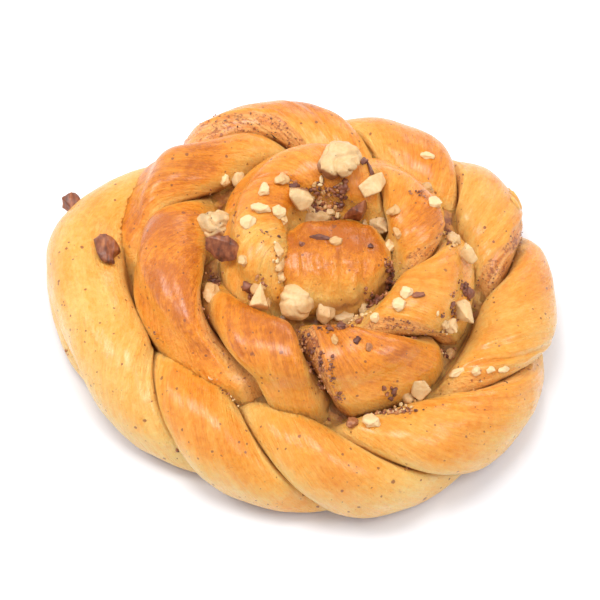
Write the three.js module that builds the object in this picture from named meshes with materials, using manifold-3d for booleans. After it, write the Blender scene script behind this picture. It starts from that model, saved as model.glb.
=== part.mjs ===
// Flower brioche: a rope of two twisted strands of dough, coiled in from a tail that is
// tucked under at the back left to a round knob at the middle, with chopped nuts on top.
// Millimetres, +Z up. Angles are degrees. The coil is described by two angles:
//   turn  how far round the coil, counter-clockwise from +X and growing inwards
//   round how far round the rope's own section: 0 faces out, 90 is the top, 180 faces in
import * as THREE from 'three';
import { mergeVertices } from 'three/addons/utils/BufferGeometryUtils.js';
import Module from 'manifold-3d';

// Coil
const TAIL_TURN = 122;          // where the rope starts, under the outer turn
const END_TURN = 985;           // where it ends, under the knob
const COIL_RADIUS = 57;         // centre line of the rope at the left of the outer turn
const COIL_PITCH = 20.4;        // how far the centre line moves in over one turn
const OVAL = 0.055;             // how much longer than wide the coil is
const OVAL_TURN = 140;          // which way the long side points
const TUCK_DEPTH = 22;          // how far in the tail's end is tucked
const TUCK_TURNS = 50;          // over how many degrees it comes out again
// Uneven stretches of the coil: where, how far along they reach, how far out they stand
const UNEVEN = [
  { turn: 242, reach: 26, out: -2.2 },
  { turn: 392, reach: 14, out: 0.7 },
  { turn: 438, reach: 28, out: -2.2 },
  { turn: 488, reach: 22, out: 1 },
  { turn: 885, reach: 40, out: -2.6 },
];

// Rope section
const HALF_WIDTH = 12.9;        // outer turn
const HALF_WIDTH_LOSS = 1.3;    // narrower towards the middle
const TAIL_WIDTH_LOSS = 3.4;    // narrower at the tucked tail
const END_WIDTH_LOSS = 3.5;     // narrower at the end under the knob
const BELLY = { turn: 520, reach: 45, out: 1.6 };
const SAG = { turn: 436, reach: 34, out: -2 };   // the lower stretch at the back
const TAIL_HEIGHT = 17;
const OUTER_HEIGHT = 25;        // top of the outer turn
const DOME_RISE = 13;           // how far the inner turns stand above it
const END_DROP = 12;            // how far the rope dips under the knob
// The stretches, in turns, over which the section changes from one size to the next
const TAIL_WIDENS = [TAIL_TURN, 185];
const TAIL_RISES = [TAIL_TURN, 215];
const DOME_RISES = [350, 690];
const ROPE_NARROWS = [400, 800];
const END_DIPS = [925, END_TURN];
const CROWN = 1.02;             // height of the section's upper half over its half width
const FOOT_PUSH = 1.06;         // reaches past the base, where the section is cut flat
const FOOT_POWER = 2.6;         // squareness of the lower half

// Twist: the turn at which each valley between the strands crosses the rope's inner side
const VALLEY_TURNS = [200, 234, 266, 298, 340, 377, 411, 450, 487, 538, 610, 639, 688, 735, 800,
  880, 962, 1030];
const VALLEY_DEPTH = 0.36;      // of the section's radius
const VALLEY_SHARPNESS = 2.6;
const VALLEYS_DEEPEN = [150, 235];   // the tail is smooth before them

// Knob, core and the end of the coil below them
const KNOB = { x: 4.6, y: -4.8, z: 24.5, rx: 13.6, ry: 12, rz: 13 };
const CORE = { radius: 46, base: 1.2, rim: 12, rise: 13 };
const CORE_END = { radius: 10, height: 14 };

// How finely the shapes are divided
const ROPE_SIDES = 18;
const HALF_TURN_ROWS = ROPE_SIDES / 2;   // so that the columns of neighbouring rows line up
const TAIL_ROWS = 14;

const DOUGH_COLOUR = 0xe9a45c;
const KERNEL_COLOUR = 0xe8cf9f;
const SKIN_COLOUR = 0x8a5230;

const NUT_GAP = 0.35;           // clearance between a nut and the dough round it
const NUT_SINK = 0.22;          // part of a nut's height that lies in the dough
const CRUMB_LIFT = 0.05;        // of a crumb's size, from the dough to the crumb's middle
const CRUMB_HEIGHT = 0.7;       // of its size
const CUT_AWAY = [0.62, 0.87];  // how far from a nut's middle its chopped faces lie

// Large pieces of nut: place on the rope, size along the rope, across it and high, spin
const NUTS = [
  { name: 'walnut_top', turn: 796, round: 95, size: [11, 9.6, 8.2], spin: 20, cuts: 7, skin: false },
  { name: 'walnut_left', turn: 522, round: 141, size: [9.4, 7.4, 6.4], spin: -20, cuts: 8, skin: false },
  { name: 'walnut_skin_left', turn: 907, round: 38, size: [9, 6, 4.6], spin: 60, cuts: 6, skin: true },
  { name: 'hazelnut_mid', turn: 965, round: 67, size: [9.4, 9, 8.4], spin: 0, cuts: 0, skin: false },
  { name: 'wedge_top', turn: 769, round: 108, size: [7, 6.6, 5], spin: 40, cuts: 5, skin: false },
  { name: 'walnut_skin_top', turn: 768, round: 140, size: [5.2, 8, 4.4], spin: 15, cuts: 6, skin: true },
  { name: 'wedge_mid', turn: 587, round: 141, size: [4.8, 7, 4], spin: 10, cuts: 4, skin: false },
  { name: 'chunk_upper', turn: 837, round: 135, size: [5.2, 7.8, 5], spin: 25, cuts: 5, skin: false },
  { name: 'chunk_lower', turn: 816, round: 175, size: [7.2, 4.4, 4.6], spin: 0, cuts: 5, skin: false },
  { name: 'chunk_right', turn: 715, round: 34, size: [5.2, 5, 4.4], spin: 30, cuts: 6, skin: false },
  { name: 'chunk_low_right', turn: 664, round: -1, size: [4.8, 6.8, 4.6], spin: 20, cuts: 5, skin: false },
  { name: 'chunk_mid_right', turn: 692, round: 26, size: [4, 6.8, 4], spin: 75, cuts: 5, skin: false },
  { name: 'tail_chip', turn: 175, round: 108, size: [9.6, 7.4, 3.2], spin: 30, cuts: 3, skin: true },
  { name: 'edge_chip', turn: 159, round: 14, size: [7.6, 4.2, 3], spin: 10, cuts: 3, skin: true },
];

// Crumbs of nut: place on the rope and size
const CRUMBS = [
  [862, 118, 3.4], [876, 91, 3.6], [858, 85, 3.4], [837, 86, 4.2], [890, 73, 3], [489, 148, 3.2],
  [496, 154, 3.4], [724, 124, 4.2], [718, 143, 3.6], [741, 112, 2.4], [748, 58, 4], [739, 64, 4.4],
  [408, 97, 3.6], [737, 140, 5], [286, 115, 4.6], [659, -7, 3.2], [687, -5, 3], [318, 120, 2.6],
  [321, 105, 2.8], [323, 95, 2.2], [326, 83, 2.8], [329, 71, 2.4], [662, 146, 3], [663, 117, 2.8],
  [680, 109, 3.4], [675, 103, 3.2], [933, 37, 4], [932, 97, 2.8], [564, 120, 3], [670, 144, 3.6],
  [810, 170, 3.4], [640, 108, 2], [647, 87, 1.8],
];

// Torn flakes of dough on the outer edge of a strand
const FLAKES = [
  { turn: 384, round: 22, size: [6.5, 3.2, 1.6], spin: 40 },
  { turn: 388, round: 6, size: [5, 2.6, 1.4], spin: 55 },
];

// Crumbs in the hollow round the knob, evenly spaced and then jittered
const RING = { from: 215, to: 375, count: 11, radius: 17.5, height: 24.5, jitter: 1.6, size: 3.6 };

const wasm = await Module();
wasm.setup();

const { degToRad: rad, lerp, smoothstep } = THREE.MathUtils;
const { sin, cos, abs, sign, max, min, PI } = Math;

function rampUp(x, [from, to]) {
  return smoothstep(x, from, to);
}

function hump(x, { turn, reach, out }) {
  return out * Math.exp(-(((x - turn) / reach) ** 2));
}

// Numbers from 0 to 1 that come out the same on every run
function seeded(seed) {
  let state = seed >>> 0;
  return () => {
    state = (Math.imul(state, 1664525) + 1013904223) >>> 0;
    return state / 4294967296;
  };
}

function coilRadius(turn) {
  const spiral = COIL_RADIUS - COIL_PITCH * (turn - 180) / 360;
  const oval = spiral * (1 + OVAL * cos(2 * rad(turn - OVAL_TURN)));
  const tuck = TUCK_DEPTH * (1 - rampUp(turn, [TAIL_TURN, TAIL_TURN + TUCK_TURNS]));
  return UNEVEN.reduce((r, bump) => r + hump(turn, bump), oval) - tuck;
}

function ropeHeight(turn) {
  const tail = TAIL_HEIGHT + (OUTER_HEIGHT - TAIL_HEIGHT) * rampUp(turn, TAIL_RISES);
  const dome = DOME_RISE * rampUp(turn, DOME_RISES) - END_DROP * rampUp(turn, END_DIPS);
  return tail + dome + hump(turn, SAG);
}

function ropeHalfWidth(turn) {
  const body = HALF_WIDTH - HALF_WIDTH_LOSS * rampUp(turn, ROPE_NARROWS) + hump(turn, BELLY);
  const tail = TAIL_WIDTH_LOSS * (1 - rampUp(turn, TAIL_WIDENS));
  return body - tail - END_WIDTH_LOSS * rampUp(turn, END_DIPS);
}

// Half turns that the twist has made by here, as an angle
function twist(turn) {
  const last = VALLEY_TURNS.length - 1;
  if (turn <= VALLEY_TURNS[0]) return 0;
  const next = VALLEY_TURNS.findIndex((t) => t > turn);
  if (next < 0) return PI * last;
  const [a, b] = [VALLEY_TURNS[next - 1], VALLEY_TURNS[next]];
  return PI * (next - 1 + (turn - a) / (b - a));
}

// Point of the rope's surface; depth 1 is the surface and 0 the middle of the section
function ropePoint(turn, round, depth = 1) {
  const halfWidth = ropeHalfWidth(turn);
  const top = ropeHeight(turn);
  const middle = top - halfWidth * CROWN;
  const across = (twist(turn) + round) / PI;
  const fromValley = 2 * abs(across - Math.round(across));
  const below = sin(round) > 0 ? 1 : 1 + 0.75 * sin(round);
  const valley = VALLEY_DEPTH * rampUp(turn, VALLEYS_DEEPEN) * below;
  const scale = (1 - valley * (1 - fromValley) ** VALLEY_SHARPNESS) * depth;
  const power = 2 / FOOT_POWER;
  const upper = sin(round) >= 0;
  const out = upper ? cos(round) : sign(cos(round)) * abs(cos(round)) ** power;
  const up = upper ? (top - middle) * sin(round) : -middle * FOOT_PUSH * abs(sin(round)) ** power;
  const r = coilRadius(turn) + out * halfWidth * scale;
  return new THREE.Vector3(r * cos(rad(turn)), r * sin(rad(turn)), middle + up * scale);
}

function ropeNormal(turn, round) {
  const along = ropePoint(turn + 1, round).sub(ropePoint(turn - 1, round));
  const across = ropePoint(turn, round + 0.05).sub(ropePoint(turn, round - 0.05));
  return along.cross(across).normalize();
}

// Closed mesh of a three.js geometry, with its shared vertices merged
function toSolid(geometry) {
  const plain = geometry.index ? geometry : geometry.clone();
  plain.deleteAttribute('normal');
  plain.deleteAttribute('uv');
  const merged = mergeVertices(plain, 1e-4);
  const mesh = new wasm.Mesh({
    numProp: 3,
    vertProperties: new Float32Array(merged.attributes.position.array),
    triVerts: new Uint32Array(merged.index.array),
  });
  return new wasm.Manifold(mesh);
}

function toGeometry(solid) {
  const mesh = solid.getMesh();
  const geometry = new THREE.BufferGeometry();
  geometry.setAttribute('position', new THREE.BufferAttribute(mesh.vertProperties, 3));
  geometry.setIndex(new THREE.BufferAttribute(mesh.triVerts, 1));
  geometry.computeVertexNormals();
  return geometry;
}

// Swaps each triangle's facing, for a form whose angles run the other way round
function turnOver(geometry) {
  const index = geometry.index.array;
  for (let i = 0; i < index.length; i += 3) {
    [index[i], index[i + 1]] = [index[i + 1], index[i]];
  }
}

// A stretch of the rope: a cylinder bent along the coil, its columns following the strands
function ropeStretch(from, to, rows) {
  const geometry = new THREE.CylinderGeometry(1, 1, 1, ROPE_SIDES, rows);
  const place = geometry.attributes.position;
  for (let i = 0; i < place.count; i += 1) {
    const turn = from + (to - from) * (0.5 + place.getY(i));
    const depth = Math.hypot(place.getX(i), place.getZ(i));
    const side = depth > 0.5 ? Math.atan2(place.getX(i), place.getZ(i)) : 0;
    const column = Math.round(side * ROPE_SIDES / (2 * PI)) * 2 * PI / ROPE_SIDES;
    const point = ropePoint(turn, column - twist(turn), depth > 0.5 ? 1 : 0);
    place.setXYZ(i, point.x, point.y, point.z);
  }
  turnOver(geometry);
  return toSolid(geometry);
}

// The smooth tail, and then one stretch for each half turn of the twist
function rope() {
  const ends = [...VALLEY_TURNS.filter((turn) => turn < END_TURN), END_TURN];
  const tail = ropeStretch(TAIL_TURN, ends[0], TAIL_ROWS);
  const body = ends.slice(1).map((end, i) => ropeStretch(ends[i], end, HALF_TURN_ROWS));
  return [tail, ...body];
}

function knob() {
  const geometry = new THREE.SphereGeometry(1, 22, 12);
  geometry.rotateX(PI / 2);
  geometry.scale(KNOB.rx, KNOB.ry, KNOB.rz);
  geometry.translate(KNOB.x, KNOB.y, KNOB.z);
  return toSolid(geometry);
}

// The dough under the turns, domed like the coil
function core() {
  const profile = [new THREE.Vector2(0, CORE.base)];
  const steps = 6;
  for (let i = 0; i <= steps; i += 1) {
    const angle = (i / steps) * PI / 2;
    profile.push(new THREE.Vector2(CORE.radius * cos(angle), CORE.rim + CORE.rise * sin(angle)));
  }
  profile.splice(1, 0, new THREE.Vector2(CORE.radius, CORE.base));
  profile[profile.length - 1].x = 0;
  const dome = new THREE.LatheGeometry(profile, 36).rotateX(PI / 2);
  const end = new THREE.CylinderGeometry(CORE_END.radius, CORE_END.radius, CORE_END.height, 24);
  end.rotateX(PI / 2).translate(0, 0, CORE_END.height / 2);
  return [toSolid(dome), toSolid(end)];
}

// A rounded lump with a few flat chopped faces, about its own middle
function lump(size, cuts, detail, random) {
  const geometry = new THREE.IcosahedronGeometry(1, detail);
  const faces = Array.from({ length: cuts }, () => {
    const direction = new THREE.Vector3(random() - 0.5, random() - 0.5, random() - 0.5);
    return { direction: direction.normalize(), away: lerp(...CUT_AWAY, random()) };
  });
  const place = geometry.attributes.position;
  const point = new THREE.Vector3();
  for (let i = 0; i < place.count; i += 1) {
    point.fromBufferAttribute(place, i).normalize();
    const reach = faces.map(({ direction, away }) => away / max(point.dot(direction), 1e-3));
    point.multiplyScalar(min(1, ...reach));
    place.setXYZ(i, point.x * size[0] / 2, point.y * size[1] / 2, point.z * size[2] / 2);
  }
  return geometry;
}

// Turns a lump's own axes to lie along, across and out of the rope, and sets it there
function placeOnRope(geometry, turn, round, spin, lift) {
  const normal = ropeNormal(turn, rad(round));
  const along = new THREE.Vector3(-sin(rad(turn)), cos(rad(turn)), 0);
  const across = new THREE.Vector3().crossVectors(normal, along).normalize();
  along.crossVectors(across, normal);
  const at = ropePoint(turn, rad(round)).addScaledVector(normal, lift);
  geometry.rotateZ(rad(spin));
  geometry.applyMatrix4(new THREE.Matrix4().makeBasis(along, across, normal).setPosition(at));
}

function crumbs() {
  const random = seeded(11);
  const solids = FLAKES.map(({ turn, round, size, spin }) => {
    const geometry = lump(size, 1, 0, random);
    placeOnRope(geometry, turn, round, spin, 0);
    return toSolid(geometry);
  });
  CRUMBS.forEach(([turn, round, size]) => {
    const shape = [size, size * (0.7 + 0.3 * random()), size * CRUMB_HEIGHT];
    const geometry = lump(shape, 2, 0, random);
    placeOnRope(geometry, turn, round, 360 * random(), size * CRUMB_LIFT);
    solids.push(toSolid(geometry));
  });
  for (let i = 0; i < RING.count; i += 1) {
    const turn = rad(RING.from + (RING.to - RING.from) * i / (RING.count - 1));
    const r = RING.radius + RING.jitter * (random() - 0.5);
    const size = RING.size * (0.75 + 0.5 * random());
    const geometry = lump([size, size * 0.8, size * 0.8], 2, 0, random);
    geometry.rotateZ(2 * PI * random());
    const z = RING.height + RING.jitter * (random() - 0.5);
    geometry.translate(KNOB.x + r * cos(turn), KNOB.y + r * sin(turn), z);
    solids.push(toSolid(geometry));
  }
  return solids;
}

// Every large nut, and the slightly larger form that makes its place in the dough
function nuts() {
  const random = seeded(5);
  return NUTS.map(({ name, turn, round, size, spin, cuts, skin }) => {
    const geometry = lump(size, cuts, 1, random);
    const larger = geometry.clone();
    const narrow = min(...size) / 2 * CUT_AWAY[0];
    const grow = 1 + NUT_GAP / narrow;
    larger.scale(grow, grow, grow);
    const lift = size[2] * (0.5 - NUT_SINK);
    placeOnRope(geometry, turn, round, spin, lift);
    placeOnRope(larger, turn, round, spin, lift);
    return { name, skin, solid: toSolid(geometry), socket: toSolid(larger) };
  });
}

// The largest body alone, without scraps and without hollows that joining has sealed
function largestBody(solid) {
  const bodies = solid.decompose();
  return bodies.reduce((best, body) => (body.volume() > best.volume() ? body : best));
}

const pieces = nuts();
const below = new THREE.BoxGeometry(4 * COIL_RADIUS, 4 * COIL_RADIUS, COIL_PITCH);
const belowBase = toSolid(below.translate(0, 0, -COIL_PITCH / 2));
let dough = wasm.Manifold.union([...rope(), ...core(), knob(), ...crumbs()]).subtract(belowBase);
pieces.forEach(({ socket }) => { dough = dough.subtract(socket); });
dough = largestBody(dough);
pieces.forEach((piece, i) => {
  pieces.slice(0, i).forEach((other) => { piece.solid = piece.solid.subtract(other.socket); });
  piece.solid = largestBody(piece.solid);
});

const box = dough.boundingBox();
const middleX = (box.min[0] + box.max[0]) / 2;
const middleY = (box.min[1] + box.max[1]) / 2;

const brioche = new THREE.Group();
brioche.name = 'flower_brioche';
brioche.position.set(-middleX, -middleY, -box.min[2]);

function addPiece(name, solid, color, roughness) {
  const material = new THREE.MeshStandardMaterial({ color, roughness, metalness: 0 });
  const mesh = new THREE.Mesh(toGeometry(solid), material);
  mesh.name = name;
  brioche.add(mesh);
}

addPiece('dough', dough, DOUGH_COLOUR, 0.45);
pieces.forEach(({ name, solid, skin }) => {
  addPiece(name, solid, skin ? SKIN_COLOUR : KERNEL_COLOUR, 0.6);
});

brioche.updateMatrixWorld(true);
export default brioche;
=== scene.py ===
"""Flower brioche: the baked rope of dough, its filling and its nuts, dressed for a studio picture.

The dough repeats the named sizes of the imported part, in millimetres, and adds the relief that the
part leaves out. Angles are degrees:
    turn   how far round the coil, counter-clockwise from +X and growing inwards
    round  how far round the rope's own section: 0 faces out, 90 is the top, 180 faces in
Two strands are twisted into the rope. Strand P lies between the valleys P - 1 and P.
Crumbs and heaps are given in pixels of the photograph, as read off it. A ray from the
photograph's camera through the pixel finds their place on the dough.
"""

import logging
import math
from dataclasses import dataclass, field
from enum import Enum
from typing import Any, Iterable, Sequence

import bpy
import numpy as np
from mathutils import Matrix, Vector, noise
from mathutils.bvhtree import BVHTree
from mathutils.kdtree import KDTree


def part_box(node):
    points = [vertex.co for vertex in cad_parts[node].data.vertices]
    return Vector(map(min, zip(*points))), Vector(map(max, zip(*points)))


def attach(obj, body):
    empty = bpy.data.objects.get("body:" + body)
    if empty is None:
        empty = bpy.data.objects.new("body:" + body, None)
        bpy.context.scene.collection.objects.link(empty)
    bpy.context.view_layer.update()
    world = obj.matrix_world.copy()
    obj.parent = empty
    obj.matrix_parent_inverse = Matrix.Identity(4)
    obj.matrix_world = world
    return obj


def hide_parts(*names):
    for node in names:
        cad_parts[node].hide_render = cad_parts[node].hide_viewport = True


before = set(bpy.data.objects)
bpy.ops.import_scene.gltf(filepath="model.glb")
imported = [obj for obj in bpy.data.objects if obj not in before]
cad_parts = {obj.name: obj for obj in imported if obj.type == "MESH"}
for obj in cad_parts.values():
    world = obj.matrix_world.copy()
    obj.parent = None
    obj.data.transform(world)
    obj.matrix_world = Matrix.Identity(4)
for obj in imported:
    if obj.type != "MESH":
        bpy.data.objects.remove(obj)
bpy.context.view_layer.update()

logging.basicConfig(level=logging.INFO, format="%(message)s")
LOG = logging.getLogger("brioche")

MM = 0.001
BODY = "root"

# Where the photograph's camera stands, and the pixel in which it shows the point it is aimed by
PHOTO_MIDDLE = 300
MM_PER_PIXEL = 0.255
AIM_PIXEL = (307, 281)
AIM_POINT = (-3.0, 0.0, 14.0)
CAMERA_ELEVATION = 60.0
CAMERA_DISTANCE = 650.0

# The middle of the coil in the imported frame
COIL_CENTRE = np.array([4.698, 5.553, 0.0])


class Slot(Enum):
    """The record's material slots."""

    DOUGH = "dough"
    KERNEL = "nut_kernel"
    SKIN = "nut_skin"


class Side(Enum):
    """The side of a valley: on the strand before it, or on the one after it."""

    BEFORE = -1
    AFTER = 1


def photo_axes() -> tuple[np.ndarray, np.ndarray, np.ndarray]:
    """The photograph's camera: its place in mm, the way up in its picture, and the way back to it."""
    elevation = math.radians(CAMERA_ELEVATION)
    back = np.array([0.0, -math.cos(elevation), math.sin(elevation)])
    up = np.array([0.0, math.sin(elevation), math.cos(elevation)])
    aim = np.array(AIM_POINT) + COIL_CENTRE
    aim += np.array([1.0, 0.0, 0.0]) * (PHOTO_MIDDLE - AIM_PIXEL[0]) * MM_PER_PIXEL
    aim -= up * (PHOTO_MIDDLE - AIM_PIXEL[1]) * MM_PER_PIXEL
    return aim + back * CAMERA_DISTANCE, up, back


def photo_ray(x: float, y: float) -> tuple[Vector, Vector]:
    """The ray through a pixel of the photograph: its start in metres in the frame, and its direction."""
    start, up, back = photo_axes()
    across = np.array([1.0, 0.0, 0.0]) * (x - PHOTO_MIDDLE) + up * (PHOTO_MIDDLE - y)
    return Vector(start * MM), Vector(across * MM_PER_PIXEL - back * CAMERA_DISTANCE).normalized()


def ramp(x: np.ndarray, low: float, high: float) -> np.ndarray:
    """Smooth step from 0 at low to 1 at high."""
    t = np.clip((x - low) / (high - low), 0.0, 1.0)
    return t * t * (3.0 - 2.0 * t)


def wander(points: np.ndarray, size: float | Sequence[float], seed: float = 0.0) -> np.ndarray:
    """Smooth noise at points.

    Args:
        points: rows of three coordinates.
        size: how far apart its features lie, one number or one for each axis.
        seed: shifts the pattern.

    Returns:
        A number from about -1 to 1 for each point.
    """
    scaled = points / np.asarray(size, float) + seed
    return np.array([noise.noise(p) for p in scaled.tolist()])


@dataclass(frozen=True)
class Hump:
    """A stretch of the coil that stands out, or in where out is negative."""

    turn: float
    reach: float
    out: float

    def at(self, turn: np.ndarray) -> np.ndarray:
        """How far it stands out at each turn, in mm."""
        return self.out * np.exp(-(((turn - self.turn) / self.reach) ** 2))


@dataclass(frozen=True)
class Valley:
    """The valley between two strands, and the cut edges of filled dough along it.

    Attributes:
        turn: where it crosses the rope's inner side.
        lean: the strand that laps over the other, -1 before, 1 after, 0 neither.
        depth: how much deeper than usual it is.
        line: how dark its bottom is: brown filling, and painted shade in the narrow crack.
        before, after: width in mm of the cut edge on either strand, 0 for none.
        grime_before, grime_after: how much filling shows on that edge.
    """

    turn: float
    lean: float = 0.0
    depth: float = 1.0
    line: float = 0.1
    before: float = 0.0
    after: float = 0.0
    grime_before: float = 0.5
    grime_after: float = 0.5


VALLEYS = (
    Valley(200),
    Valley(234, lean=0.3, line=0.05),
    Valley(266, lean=0.6, line=0.15),
    Valley(298, lean=0.8, line=0.3),
    Valley(340, lean=0.4, line=0.4, before=2.0, after=2.8, grime_before=0.35, grime_after=0.25),
    Valley(377, lean=-0.7, depth=1.25, line=0.9, after=5.0, grime_after=0.72),
    Valley(411, lean=0.5, line=0.6, before=1.2, grime_before=0.5),
    Valley(450, lean=0.6, line=0.6),
    Valley(487, lean=0.7, depth=1.1, line=0.8, before=5.0, grime_before=0.75),
    Valley(538, lean=-0.5, line=0.5, before=1.7, grime_before=0.10),
    Valley(610, lean=0.3, depth=1.9, line=1.0, before=3.0, after=0.8, grime_before=0.5, grime_after=0.5),
    Valley(639, lean=-0.4, depth=1.6, line=1.0, before=1.2, after=3.6, grime_before=0.25, grime_after=1.15),
    Valley(688, lean=-0.5, depth=1.25, line=0.85, before=0.8, after=3.2, grime_before=0.4, grime_after=0.65),
    Valley(735, lean=-0.4, depth=1.2, line=0.8, before=1.0, after=2.6, grime_before=0.3, grime_after=0.55),
    Valley(800, lean=0.2, depth=1.0, line=0.3),
    Valley(880, lean=0.2, depth=0.25),
    Valley(962, depth=0.0),
    Valley(1030, depth=0.0),
)

# Shifts in degrees over which the twist is averaged
EASING = (-8.0, -4.0, 0.0, 4.0, 8.0)
# The strands' usual slope against the rope, for patterns that run along them
STRAND_SLOPE = 0.62
# How far apart two strands' patterns lie, so that they differ
STRAND_SPACING = 37.0

# How brown each strand is baked, from the tail to the coil's end
BAKE = (0.34, 0.34, 0.54, 0.48, 0.55, 0.49, 0.50, 0.64, 0.68, 0.80, 0.86, 0.80, 0.80, 0.56, 0.70,
        0.68, 0.62, 0.6, 0.6)
KNOB_BAKE = 0.96


@dataclass(frozen=True)
class Sway:
    """A place where the strands lie further round the rope than the even twist puts them, in degrees."""

    turn: float
    round: float
    turn_reach: float
    round_reach: float
    shift: float

    def at(self, turn: np.ndarray, around: np.ndarray) -> np.ndarray:
        """The shift in radians, for turns in degrees and angles round the rope in radians."""
        far = ((turn - self.turn) / self.turn_reach) ** 2
        far = far + ((np.degrees(around) - self.round) / self.round_reach) ** 2
        return math.radians(self.shift) * np.exp(-far)


@dataclass(frozen=True)
class Blush:
    """A patch that is baked browner, or paler where bake is negative; its reach is in degrees."""

    turn: float
    round: float
    turn_reach: float
    round_reach: float
    bake: float


BLUSHES = (
    Blush(452, 120, 16, 32, -0.52),
    Blush(480, 135, 20, 30, -0.30),
    Blush(842, 130, 26, 40, 0.10),
    Blush(905, 100, 22, 60, -0.30),
    Blush(940, 80, 16, 60, -0.30),
    Blush(800, 50, 30, 30, -0.06),
    Blush(722, 66, 16, 26, 0.14),
    Blush(602, 12, 40, 26, -0.26),
    Blush(655, 12, 30, 26, -0.22),
    Blush(560, 12, 40, 20, -0.12),
    Blush(161, 95, 22, 40, 0.10),
    Blush(440, 100, 14, 30, 0.10),
    Blush(322, 78, 14, 34, 0.12),
    Blush(285, 10, 50, 26, -0.16),
    Blush(250, 60, 12, 30, 0.12),
    Blush(282, 55, 12, 30, 0.10),
    Blush(360, 60, 14, 30, 0.08),
)


@dataclass(frozen=True)
class Crease:
    """A shallow fold that runs along a strand.

    Attributes:
        strand: number of the strand.
        place: 0 at the valley before it, 1 at the valley after it.
        start, end: the turns between which it shows.
        depth, width: in mm.
    """

    strand: int
    place: float
    start: float
    end: float
    depth: float = 0.5
    width: float = 0.7


CREASES = (
    Crease(2, 0.10, 196, 228, 0.45, 0.6),
    Crease(2, 0.17, 192, 222, 0.40, 0.8),
    Crease(1, 0.93, 192, 226, 0.35, 0.8),
    Crease(6, 0.42, 355, 388, 0.35, 1.1),
    Crease(6, 0.66, 362, 392, 0.30, 1.2),
    Crease(5, 0.16, 318, 345, 0.55, 0.5),
    Crease(5, 0.28, 322, 345, 0.35, 0.8),
    Crease(8, 0.42, 432, 470, 0.30, 0.8),
    Crease(4, 0.80, 305, 335, 0.30, 1.0),
)


@dataclass(frozen=True)
class Dent:
    """A hollow or bump in the rope's skin, with its reach in degrees and its height in mm."""

    turn: float
    round: float
    turn_reach: float
    round_reach: float
    out: float


DENTS = (
    Dent(915, 150, 34, 38, -2.0),
    Dent(950, 110, 20, 60, -2.6),
    Dent(975, 60, 14, 70, -2.4),
)


@dataclass(frozen=True)
class Flake:
    """A torn flake of dough on a strand, with its sizes in mm and how far it is turned."""

    turn: float
    round: float
    size: tuple[float, float, float]
    spin: float


FLAKES = (
    Flake(384, 22, (5.5, 3.2, 1.8), 40),
    Flake(388, 6, (4.2, 2.6, 1.6), 55),
    Flake(381, 40, (4.0, 2.2, 1.2), 25),
)


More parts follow.
